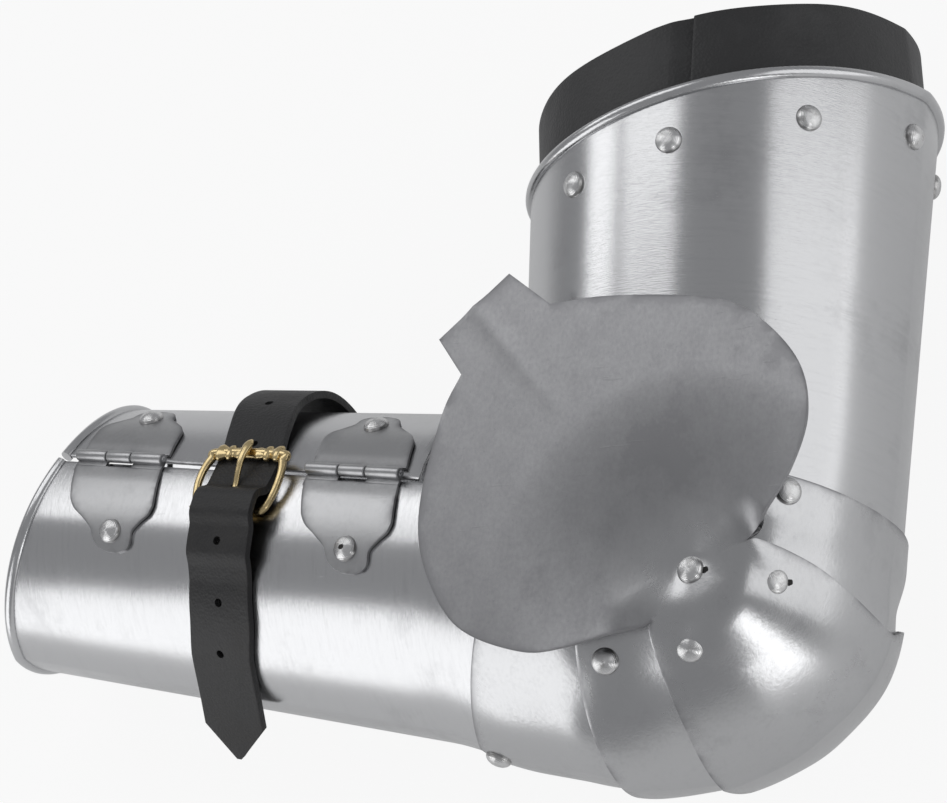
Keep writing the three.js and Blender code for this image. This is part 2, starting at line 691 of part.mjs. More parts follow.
plates.set('lower_lame', sheetSolid(10, 24, (u, v) => {
  const edge = degToRad(17.5);
  const angle = lerp(edge, Math.PI - edge, v);
  const k = Math.abs(2 * v - 1);
  const split = 0.35;
  if (u < split) return lowerLameAt(0, degToRad(lerp(-84, -97.9, u / split)), angle);
  const end = lerp(lowerLame.end, lowerLame.endSide, k);
  return lowerLameAt(lerp(lowerLame.start, end, (u - split) / (1 - split)), -quarter * 1.2, angle);
}, () => forearmOrigin));

// Elbow plate: under the lower lame, over the lower shell

plates.set('elbow_plate', sheetSolid(7, 24, (u, v) => {
  const edge = degToRad(24);
  const angle = lerp(edge, Math.PI - edge, v);
  const k = Math.abs(2 * v - 1);
  const t = lerp(lerp(elbowPlate.start, elbowPlate.startSide, k), lerp(elbowPlate.end, elbowPlate.endSide, k), u);
  const under = lowerLameAt(t, -quarter * 1.2, angle, -layer - fitGap);
  const over = forearmAt(angle - degToRad(forearmTwist), t, layer - lameGap / 2);
  return under.lerp(over, smoothstep(t, elbowPlate.settleFrom, elbowPlate.settle));
}, (u) => forearmPoint(elbowPlate.end * u, 0, 0, 0)));

// Vambrace: two shells that meet along two seams

const innerSeam = degToRad(seamAngles.inner);
const seamShare = seamGap / (forearm.elbowSide + forearm.wristSide);

function vambraceShell(fromAt, toAt, startAt) {
  const place = (u, v) => {
    const near = lerp(vambraceEnd.lower, forearm.cuffAt, u ** 1.8);
    const angle = lerp(fromAt(near), toAt(near), v);
    return [angle, lerp(startAt(v), cuffDistance(angle) - forearm.cuffBead, u ** 1.8)];
  };
  const rim = [];
  for (let j = 0; j <= 26; j += 1) rim.push(forearmAt(...place(1, j / 26), -sheet / 2));
  const inside = (u) => forearmPoint(forearm.cuffAt * u, 0, 0, 0);
  return sheetSolid(3, 28, (u, v) => forearmAt(...place(u, v)), inside)
    .add(barSolid(rim, () => forearm.cuffBead, 6, false));
}

plates.set('vambrace_lower_shell', vambraceShell(
  (t) => seamAt(t) + seamShare,
  () => innerSeam + full - seamShare,
  () => vambraceEnd.lower,
));
plates.set('vambrace_upper_shell', vambraceShell(
  () => innerSeam + seamShare,
  (t) => seamAt(t) - seamShare,
  (v) => lerp(vambraceEnd.upperSide, vambraceEnd.upperMiddle, Math.sin(Math.PI * v)),
));

// Rivets of the elbow. Each pair stands on the outer and the inner side.

const pairs = [
  {
    name: 'elbow_pivot_rivet', at: elbowPivot, group: elbowCopGroup, outer: 'elbow_cop', square: true,
    holes: [['elbow_cop', shankPlay], ['rerebrace_shell', pivotPlay]],
  },
  {
    name: 'upper_lame_rivet', at: upperLameRivet, group: armour, outer: 'upper_lame',
    holes: [['upper_lame', shankPlay], ['rerebrace_shell', shankPlay]],
  },
  {
    name: 'lower_pivot_rivet', at: lowerPivot, group: elbowCopGroup, outer: 'elbow_cop',
    holes: [['elbow_cop', shankPlay], ['lower_lame', pivotPlay]],
  },
  {
    name: 'plate_pivot_rivet', at: platePivot, group: lowerLameGroup, outer: 'lower_lame',
    holes: [['lower_lame', shankPlay], ['elbow_plate', pivotPlay]],
  },
  {
    name: 'slide_rivet', at: slideRivet, group: elbowCopGroup, outer: 'elbow_cop', slides: true,
    holes: [['elbow_cop', shankPlay]],
  },
];

const travel = { flexed: -9, extended: 8 }; // degrees the cop turns on the rerebrace

for (const pair of pairs) {
  for (const side of [1, -1]) {
    const { point, normal } = faceOf(pair.outer, pair.at, side);
    if (pair.square) normal.set(0, 0, side);
    point.addScaledVector(normal, proudOf(pair.outer, point, normal));
    const under = pair.holes.map(([plate]) => plate).concat(pair.slides ? ['upper_lame'] : []);
    const aside = pair.square ? vec(rivet.tail, 0) : vec(0, 0);
    const stack = stackUnder(under, point.clone().add(aside), normal) + (pair.slides ? slideGap / 2 : 0);
    for (const [plate, play] of pair.holes) drill(plate, point, normal, rivet.shank + play);
    if (pair.slides) {
      const centre = onPivot(elbowPivot);
      for (let k = 0; k <= 6; k += 1) {
        const turn = lerp(travel.flexed - 2, travel.extended + 2, k / 6);
        const spin = (p) => p.applyAxisAngle(lateral, degToRad(turn));
        drill('upper_lame', spin(point.clone().sub(centre)).add(centre), spin(normal.clone()), rivet.shank + shankPlay);
      }
    }
    setRivet(pair.group, `${pair.name}_${side > 0 ? 'outer' : 'inner'}`, point, normal, stack);
  }
}

// Rivets that hold the elbow plate to the lower shell
const plateRivetAngles = { outer: 2, back: 79, inner: 150 };
for (const [where, degrees] of Object.entries(plateRivetAngles)) {
  const angle = degToRad(degrees);
  const at = where === 'outer' || where === 'inner' ? plateRivetAt - rivet.head / 2 : plateRivetAt;
  const normal = forearmNormal(angle, at);
  const point = forearmAt(angle, at, layer - lameGap / 2);
  for (const plate of ['elbow_plate', 'vambrace_lower_shell']) drill(plate, point, normal, rivet.shank + shankPlay);
  setRivet(forearmGroup, `elbow_plate_rivet_${where}`, point, normal, 2 * sheet + lameGap / 2);
}

// Leather band inside the rerebrace's rim, lapped on itself

const bandLap = { start: 13, width: 27 };

// Depth of the band's outer face under the tube's: it touches the sheet at its rivets,
// clears the rim bead above them and leans in at its top
function bandDepth(degrees, u) {
  const lapped = smoothstep(degrees, bandLap.start + 352, bandLap.start + 360);
  const clearOfBead = (upperArm.rimBead - sheet / 2) * clamp((u - 0.2) / 0.2, 0, 1);
  const lean = (band.lean + band.leanBack * Math.max(0, Math.sin(degToRad(degrees)))) * clamp((u - 0.4) / 0.6, 0, 1);
  return sheet + 2 * fitGap + lapped * (band.lapped + fitGap) + clearOfBead + lean;
}

const bandTurn = (v) => lerp(bandLap.start, bandLap.start + 360 + bandLap.width, v);

const bandSolid = sheetSolid(5, 36, (u, v) => {
  const angle = degToRad(bandTurn(v));
  const rim = rimHeight(angle);
  return upperArmAt(angle, lerp(rim - band.below, rim + band.above, u), -bandDepth(bandTurn(v), u));
}, (u) => vec(upperArm.centreX, upperArm.length + band.above * u), (u, v) => {
  const first = smoothstep(bandTurn(v), bandLap.start + bandLap.width + 1, bandLap.start + bandLap.width + 8);
  const last = 1 - smoothstep(bandTurn(v), bandLap.start + 352, bandLap.start + 359);
  return lerp(band.lapped, band.thickness, Math.min(first, last));
});

plates.set('suspension_band', bandSolid);
const bandRivetAngles = [-23.8, 8, 48.3, 85.3, 121, 157, 193, 226, 252, 278];
bandRivetAngles.forEach((degrees, i) => {
  const angle = degToRad(degrees);
  const y = rimHeight(angle) - bandRivetDrop;
  const point = upperArmAt(angle, y);
  const surfaceAt = (u, v) => upperArmAt(angle + v * 1e-2, y + u * sheet);
  const normal = outward(surfaceAt, 0, 0, vec(upperArm.centreX, y), false);
  const lapped = i === 1;
  for (const plate of ['rerebrace_shell', 'suspension_band']) {
    drill(plate, point, normal, rivet.shank + shankPlay);
  }
  const stack = sheet + 2 * fitGap + band.thickness + (lapped ? band.lapped : 0);
  setRivet(armour, `band_rivet_${i + 1}`, point, normal, stack);
});

// Hinges: a leaf on each shell, its knuckles round a pin

const arc = (offset) => offset / ((forearm.elbowSide + forearm.wristSide) / 2);
const leafOutline = [[0, 1], [0.4, 0.97], [0.52, 0.89], [0.64, 0.66], [0.76, 0.47], [0.87, 0.43], [0.96, 0.3], [1, 0.12]];

function leafSolid(centre, towards, reach, length, knuckles, axisAt, angleAt, options) {
  const { outerRadius, thickness, clear, lean } = options;
  const halfAt = (k) => (length / 2) * table(leafOutline, k);
  const surfaceAt = (u, v) => {
    const away = lerp(clear, reach, u);
    const t = centre + lean * (away - clear) + (2 * v - 1) * halfAt(u);
    return forearmAt(angleAt(t) + towards * arc(away), t, fitGap + thickness);
  };
  const insideAt = () => forearmPoint(centre, 0, 0, 0);
  let leaf = sheetSolid(8, 4, surfaceAt, insideAt, () => thickness);
  for (const [from, to] of knuckles) {
    const tongueAt = (u, v) => {
      const t = lerp(from, to, v);
      return forearmAt(angleAt(t) + towards * arc(lerp(0, clear + sheet, u)), t, fitGap + thickness);
    };
    leaf = leaf.add(sheetSolid(3, 2, tongueAt, insideAt, () => thickness))
      .add(rodSolid(axisAt(from), axisAt(to), outerRadius, 12));
  }
  return leaf;
}

hingePlaces.forEach((centre, i) => {
  const name = i === 0 ? 'elbow_hinge' : 'wrist_hinge';
  const sizes = i === 0 ? { ...hinge, ...elbowHinge } : hinge;
  const half = hinge.length / 2;
  const [a, b] = [centre - half * 0.29, centre + half * 0.29];
  const gap = hinge.play / 2;
  const options = { outerRadius: hinge.barrel, thickness: hinge.leaf, clear: hinge.clear };
  const bore = rodSolid(
    seamAxisAt(centre - half - overrun), seamAxisAt(centre + half + overrun), hinge.pin + pinPlay, 12,
  );
  const sides = [
    ['lower', 1, sizes.lowerReach, sizes.lowerLean, [[centre - half, a - gap], [b + gap, centre + half]], forearmGroup],
    ['upper', -1, sizes.upperReach, sizes.upperLean, [[a + gap, b - gap]], upperShellGroup],
  ];
  for (const [side, towards, reach, lean, knuckles, group] of sides) {
    const leafName = `${name}_${side}_leaf`;
    const leaf = leafSolid(centre, towards, reach, hinge.length, knuckles, seamAxisAt, seamAt, { ...options, lean });
    plates.set(leafName, leaf.subtract(bore));
    const away = reach - hinge.rivetInset;
    const at = centre + lean * (away - hinge.clear);
    const angle = seamAt(at) + towards * arc(away);
    const normal = forearmNormal(angle, at);
    const point = forearmAt(angle, at, fitGap + hinge.leaf);
    drill(leafName, point, normal, rivet.shank + shankPlay);
    drill(`vambrace_${side}_shell`, point, normal, rivet.shank + shankPlay);
    setRivet(group, `${name}_${side}_rivet`, point, normal, sheet + fitGap + hinge.leaf);
  }
  const pinAt = (t) => seamAxisAt(t);
  addMesh(forearmGroup, `${name}_pin`, rodSolid(pinAt(centre - half), pinAt(centre + half), hinge.pin), brightSteel);
});

// Buckle on the lower shell: frame, tongue and the chape that holds its rear bar

const frontAngle = degToRad(buckleAngles.front);
const strapTop = fitGap + strap.thickness;
const frontOffset = strapTop + fitGap + buckle.bar;
const frameHalf = buckle.inside / 2 + buckle.rearBar;

const framePath = [
  [0, -1, 0], [0, 1, 0], [0.1, 1.02, 0.02], [0.45, 1.05, 0.35], [0.85, 1.03, 0.85], [1, 0.96, 1],
  [1, -0.96, 1], [0.85, -1.03, 0.85], [0.45, -1.05, 0.35], [0.1, -1.02, 0.02],
].map(([along, across, rise]) => forearmAt(
  lerp(rearAngle, frontAngle, along),
  buckle.at + across * frameHalf,
  lerp(buckleOffset, frontOffset, rise),
));
const frameRadius = (i) => (i < 2 ? buckle.rearBar : buckle.bar);
addMesh(buckleGroup, 'buckle_frame', barSolid(framePath, frameRadius, 10, true), brass);

const tongueRest = frontOffset + buckle.bar + fitGap + buckle.tongue;
const tongueShares = [[0, 0], [0.16, 0.02], [0.34, 0.1], [0.62, 0.62], [0.85, 0.98], [1, 1], [1.16, 0.94]];
const tonguePath = (from) => tongueShares.map(([along, rise]) => forearmAt(
  lerp(rearAngle, frontAngle, lerp(from, 1, along)),
  buckle.at,
  lerp(buckleOffset + buckle.rearBar * 0.7, tongueRest, rise),
));
const bearing = buckle.rearBar + pinPlay;
const tongueRing = rodSolid(
  rearBarAt(buckle.at - buckle.tongueWidth / 2), rearBarAt(buckle.at + buckle.tongueWidth / 2), knuckle, 12,
).subtract(rodSolid(rearBarAt(buckle.at - buckle.tongueWidth), rearBarAt(buckle.at + buckle.tongueWidth), bearing));
const prongStart = 0.1; // inside the ring's wall
addMesh(
  tongueGroup,
  'buckle_tongue',
  tongueRing.add(barSolid(tonguePath(prongStart), () => buckle.tongue, 8, false)),
  brass,
);

const tongueRoom = buckle.tongueWidth / 2 + fitGap;
const chapeHalf = buckle.chapeWidth / 2;
const chape = leafSolid(
  buckle.at, 1, buckle.chapeReach, buckle.chapeWidth,
  [[buckle.at - chapeHalf, buckle.at - tongueRoom], [buckle.at + tongueRoom, buckle.at + chapeHalf]],
  rearBarAt, () => rearAngle, { outerRadius: knuckle, thickness: buckle.leaf, clear: knuckle + 2 * fitGap, lean: 0 },
).subtract(rodSolid(rearBarAt(buckle.at - buckle.chapeWidth), rearBarAt(buckle.at + buckle.chapeWidth), bearing));
plates.set('buckle_chape', chape);
const chapeRivetAngle = rearAngle + arc(buckle.chapeReach - rivet.head);
const chapePoint = forearmAt(chapeRivetAngle, buckle.at, fitGap + buckle.leaf);
const chapeNormal = forearmNormal(chapeRivetAngle, buckle.at);
drill('buckle_chape', chapePoint, chapeNormal, rivet.shank + shankPlay);
drill('vambrace_lower_shell', chapePoint, chapeNormal, rivet.shank + shankPlay);
setRivet(
  forearmGroup, 'buckle_chape_rivet', chapePoint, chapeNormal, sheet + fitGap + buckle.leaf, rivet.lowDome,
);

// Strap: from its rivets on the inner side over the top, through the buckle and down

const overBar = buckleOffset + knuckle + 5 * fitGap;
const overRivet = fitGap + buckle.leaf + fitGap + rivet.lowDome + 2 * fitGap;
const rear = buckleAngles.rear;
const strapLift = [
  [strapAnchorAngle, fitGap], [-150, fitGap], [-110, 3.6], [-80, 5.4], [-57, 4], [-34, 0.8], [rear - 18.3, fitGap],
  [rear - 9.8, 1.35], [rear - 5.3, overBar * 0.86], [rear - 2.3, overBar], [rear + 2.7, overBar],
  [rear + 8.7, overRivet * 1.1], [rear + 16.7, overRivet], [rear + 22.7, 1.4], [rear + 28.7, fitGap], [180, fitGap],
];
const strapShift = [[-95, strap.crestShift], [-62, 13], [-40, 6], [-28, 2], [-10, 0], [35, -0.5], [60, 3]];

function strapPathAt(degrees, across, above) {
  const angle = degToRad(Math.min(degrees, strapLeavesAt));
  const lean = across + table(strapShift, degrees);
  const lift = table(strapLift, degrees);
  return forearmAt(angle, strap.at + lean, lift + above);
}

const tailDirection = forearmBack.clone().multiplyScalar(0.62).addScaledVector(lateral, -0.78).normalize();

function strapAt(u, v) {
  const bend = 0.84;
  const across = (2 * v - 1) * (strap.width / 2);
  if (u <= bend) {
    return strapPathAt(lerp(strapAnchorAngle - 8, strapLeavesAt, u / bend), across, strap.thickness);
  }
  const along = ((u - bend) / (1 - bend)) * strap.tail;
  const taper = clamp((along - strap.tail + strap.tip) / strap.tip, 0, 1);
  const narrowed = lerp(1, strap.tipFlat / strap.width, taper);
  const drift = along * 0.16;
  return strapPathAt(strapLeavesAt, across * narrowed + drift, strap.thickness).addScaledVector(tailDirection, along);
}

let strapSolid = sheetSolid(38, 2, strapAt, () => forearmPoint(strap.at, 0, 0, 0), () => strap.thickness);
strapSolid = strapSolid.subtract(barSolid(tonguePath(0.1), () => buckle.tongue + 2 * fitGap, 8, false));
for (const degrees of [-56, -33.5, 7.4, 29.6, 50]) {
  const point = strapPathAt(degrees, 0, 0);
  const normal = forearmNormal(degToRad(degrees), strap.at);
  const reach = overrun + strap.thickness;
  strapSolid = strapSolid.subtract(rodSolid(
    point.clone().addScaledVector(normal, -reach), point.clone().addScaledVector(normal, reach), strapHole,
  ));
}
plates.set('closing_strap', strapSolid);
for (const [i, across] of [-strapRivetSpread, strapRivetSpread].entries()) {
  const at = strap.at + strap.crestShift + across;
  const normal = forearmNormal(anchorAngle, at);
  const point = strapPathAt(strapAnchorAngle, across, strap.thickness);
  drill('closing_strap', point, normal, rivet.shank + shankPlay);
  drill('vambrace_lower_shell', point.clone().addScaledVector(normal, -strap.thickness), normal, rivet.shank + shankPlay);
  setRivet(forearmGroup, `strap_rivet_${i + 1}`, point, normal, sheet + fitGap + strap.thickness);
}

// Set the pieces in their groups

const homes = {
  rerebrace_shell: [armour, steel],
  upper_lame: [armour, steel],
  suspension_band: [armour, blackLeather],
  elbow_cop: [elbowCopGroup, steel],
  lower_lame: [lowerLameGroup, steel],
  elbow_plate: [forearmGroup, steel],
  vambrace_lower_shell: [forearmGroup, steel],
  vambrace_upper_shell: [upperShellGroup, steel],
  elbow_hinge_lower_leaf: [forearmGroup, hingeSteel],
  wrist_hinge_lower_leaf: [forearmGroup, hingeSteel],
  elbow_hinge_upper_leaf: [upperShellGroup, hingeSteel],
  wrist_hinge_upper_leaf: [upperShellGroup, hingeSteel],
  buckle_chape: [forearmGroup, brass],
  closing_strap: [strapGroup, strapLeather],
};
for (const [name, solid] of plates) addMesh(homes[name][0], name, solid, homes[name][1]);

// Lay the armour on its inner side: the hull face under its centre of mass becomes level

armour.updateMatrixWorld(true);
const corners = [];
const centreOfMass = vec(0, 0);
let mass = 0;
armour.traverse((object) => {
  if (!object.isMesh) return;
  const geometry = object.geometry.clone().applyMatrix4(object.matrixWorld);
  const at = geometry.attributes.position;
  for (let i = 0; i < at.count; i += 1) corners.push(vec().fromBufferAttribute(at, i));
  const first = corners.length - at.count;
  const index = geometry.index.array;
  for (let i = 0; i < index.length; i += 3) {
    const [a, b, c] = [0, 1, 2].map((k) => corners[first + index[i + k]]);
    const piece = a.dot(b.clone().cross(c)) / 6;
    mass += piece;
    centreOfMass.addScaledVector(a.clone().add(b).add(c), piece / 4);
  }
});
centreOfMass.divideScalar(mass);

const down = lateral.clone().negate();
let support = null;
for (const face of new ConvexHull().setFromPoints(corners).faces) {
  if (face.normal.dot(down) < 0.9) continue;
  const ends = [face.getEdge(0), face.getEdge(1), face.getEdge(2)].map((edge) => edge.head().point);
  const drop = (face.constant - face.normal.dot(centreOfMass)) / face.normal.dot(down);
  const foot = centreOfMass.clone().addScaledVector(down, drop);
  if (new THREE.Triangle(...ends).containsPoint(foot)) support = face.normal.clone();
}
armour.quaternion.setFromUnitVectors(support, down);
const box = new THREE.Box3().setFromPoints(corners.map((p) => p.applyQuaternion(armour.quaternion)));
armour.position.set(-(box.min.x + box.max.x) / 2, -(box.min.y + box.max.y) / 2, -box.min.z);

export default armour;
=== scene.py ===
"""A left arm's plate armour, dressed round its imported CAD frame.

The steel plates, rivets, hinges, buckle and leather are modelled again at a fine scale, in the
arm's own frame: X backwards, Y up the upper arm and Z to the outer side, in millimetres, with the
elbow centre near the origin. ArmFrame takes them to the row frame, in metres.
"""

import json
import logging
import math
from dataclasses import dataclass
from enum import Enum
from functools import cached_property, partial
from typing import Callable, Iterable, Sequence

import bmesh
import bpy
import numpy as np
from mathutils import Matrix, Vector


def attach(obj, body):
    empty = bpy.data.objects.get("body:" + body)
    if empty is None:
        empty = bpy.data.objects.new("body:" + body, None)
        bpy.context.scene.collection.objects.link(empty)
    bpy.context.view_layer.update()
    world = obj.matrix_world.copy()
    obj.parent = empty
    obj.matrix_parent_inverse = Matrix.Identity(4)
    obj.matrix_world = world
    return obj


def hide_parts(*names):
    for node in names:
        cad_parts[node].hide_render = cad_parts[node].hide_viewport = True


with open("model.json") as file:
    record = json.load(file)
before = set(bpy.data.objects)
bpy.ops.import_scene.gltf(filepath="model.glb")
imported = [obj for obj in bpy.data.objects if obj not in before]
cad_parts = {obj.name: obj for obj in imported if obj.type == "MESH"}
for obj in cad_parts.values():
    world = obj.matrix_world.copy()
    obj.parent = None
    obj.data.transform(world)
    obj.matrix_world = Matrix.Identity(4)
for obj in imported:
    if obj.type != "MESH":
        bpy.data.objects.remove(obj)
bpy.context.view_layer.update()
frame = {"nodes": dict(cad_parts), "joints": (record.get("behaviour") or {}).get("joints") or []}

LOG = logging.getLogger("arm_armour")
MM = 0.001
QUARTER = math.pi / 2
# Dirt along cut edges, with painted shade for the dark lines in the grooves and gaps there
DIRT_AND_EDGE_SHADE = "soil"
# Rougher satin on the cop's wing; its darker colour is painted shade
SATIN_AND_SHADE = "satin"
SETTLING_ROUNDS = 4
BEVEL_ANGLE = 50.0
BEVEL_STEPS = 2
# How far in from a cut edge the dirt and the painted edge shade fade, in millimetres
EDGE_DARKENING_REACH = 1.6
ROUNDING = 0.3
Array = np.ndarray
Pair = tuple[float, float]
Triple = tuple[float, float, float]
Table = tuple[Pair, ...]
SurfaceAt = Callable[[Array, Array], Array]
InsideAt = Callable[[Array], Array]


# Curves and tables


def smoothstep(x: Array, low: float, high: float) -> Array:
    """Smooth step from 0 at low to 1 at high."""
    t = np.clip((np.asarray(x, float) - low) / (high - low), 0, 1)
    return t * t * (3 - 2 * t)


def mix(a: Array, b: Array, share: Array) -> Array:
    """Value between a and b at a share of the way."""
    return a + (b - a) * share


def points_at(x: Array, y: Array, z: Array) -> Array:
    """Points from their three coordinates."""
    return np.stack(np.broadcast_arrays(x, y, z), -1)


def still(*point: float) -> InsideAt:
    """Gives a hollow side that is one point.

    Args:
        point: Its three coordinates.

    Returns:
        A function that gives the point for every u.
    """

    def inside(u: Array) -> Array:
        """The point, once for each u."""
        return np.zeros((*u.shape, 1)) + np.array(point)

    return inside


def eased_table(pairs: Sequence[Pair], x: Array) -> Array:
    """Smooth value at x of a list of pairs, without overshoot.

    Args:
        pairs: Rising places and the value at each.
        x: Where the value is wanted.

    Returns:
        The value at each x, held constant past both ends.
    """
    places = np.array([p[0] for p in pairs], float)
    values = np.array([p[1] for p in pairs], float)
    steps = np.diff(values) / np.diff(places)
    slopes = np.zeros_like(values)
    rising = steps[:-1] * steps[1:] > 0
    slopes[1:-1][rising] = (2 * steps[:-1] * steps[1:] / np.where(rising, steps[:-1] + steps[1:], 1))[rising]
    x = np.clip(np.asarray(x, float), places[0], places[-1])
    i = np.clip(np.searchsorted(places, x, side="right") - 1, 0, len(places) - 2)
    span = places[i + 1] - places[i]
    t = (x - places[i]) / span
    from_start = (2 * t**3 - 3 * t**2 + 1) * values[i] + (t**3 - 2 * t**2 + t) * span * slopes[i]
    from_end = (3 * t**2 - 2 * t**3) * values[i + 1] + (t**3 - t**2) * span * slopes[i + 1]
    return from_start + from_end


def soft_table(pairs: Sequence[Pair], x: Array, spread: float) -> Array:
    """Value at x of a list of pairs, with its corners blurred over a spread.

    Args:
        pairs: Rising places and the value at each.
        x: Where the value is wanted.
        spread: Half width of the blur.

    Returns:
        The value at each x, carried on straight past both ends.
    """
    places = np.array([p[0] for p in pairs], float)
    values = np.array([p[1] for p in pairs], float)
    first = (values[1] - values[0]) / (places[1] - places[0])
    last = (values[-1] - values[-2]) / (places[-1] - places[-2])
    total = np.zeros(np.shape(x))
    shares = 0
    samples, least = 17, 0.01
    for k in np.linspace(-1, 1, samples):
        share = math.cos(k * QUARTER) ** 2 + least
        at = np.asarray(x, float) + k * spread
        value = np.interp(at, places, values)
        value = value + first * np.minimum(at - places[0], 0) + last * np.maximum(at - places[-1], 0)
        total += value * share
        shares += share
    return total / shares


def rounded_line(corners: Sequence[Sequence[float]], steps: int) -> Array:
    """Points of a smooth line through a few corners.

    Args:
        corners: Points that the line passes through, two or three numbers each.
        steps: Points between one corner and the next.

    Returns:
        The line's points, both ends included.
    """
    points = np.array(corners, float)
    padded = np.vstack([2 * points[0] - points[1], points, 2 * points[-1] - points[-2]])
    line = []
    for i in range(len(points) - 1):
        a, b, c, d = padded[i : i + 4]
        square = 2 * a - 5 * b + 4 * c - d
        cube = 3 * b - a - 3 * c + d
        for t in np.linspace(0, 1, steps, endpoint=False):
            line.append(0.5 * (2 * b + (c - a) * t + square * t**2 + cube * t**3))
    line.append(points[-1])
    return np.array(line)


# The arm's frame and its tubes


@dataclass(frozen=True)
class ArmSizes:
    """Sizes of the arm's tubes and pivots, in millimetres and degrees."""

    sheet: float = 1.2
    fit_gap: float = 0.3
    lame_gap: float = 1.0
    slide_gap: float = 1.8
    elbow_pivot: Pair = (21.0, 14.0)
    plate_pivot: Pair = (-12.6, -12.2)
    upper_length: float = 190.4
    upper_front: Pair = (66.5, 74.3)
    upper_back: Pair = (63.9, 71.2)
    upper_side: Pair = (63.4, 77.4)
    upper_centre: float = 0.5
    rim_slope: Pair = (0.234, -0.116)
    rim_bead: float = 2.3
    draw_from: float = 18.0
    draw_to: float = 76.0
    draw_side: float = 7.0
    draw_back: float = 1.0
    crease: float = 84.0
    forearm_length: float = 250.0
    forearm_front: Pair = (64.8, 58.8)
    forearm_back: Pair = (67.0, 51.9)
    forearm_side: Pair = (58.1, 46.4)
    forearm_height: float = 24.4
    forearm_rise: float = 8.75
    forearm_twist: float = 15.0
    flare: float = 4.0
    flare_from: float = 50.0
    flare_to: float = 92.0
    cuff_at: float = 274.6
    cuff_slope: Pair = (0.196, -0.148)
    cuff_bead: float = 2.3

    @property
    def layer(self) -> float:
        """A sheet and the gap under it."""
        return self.sheet + self.lame_gap


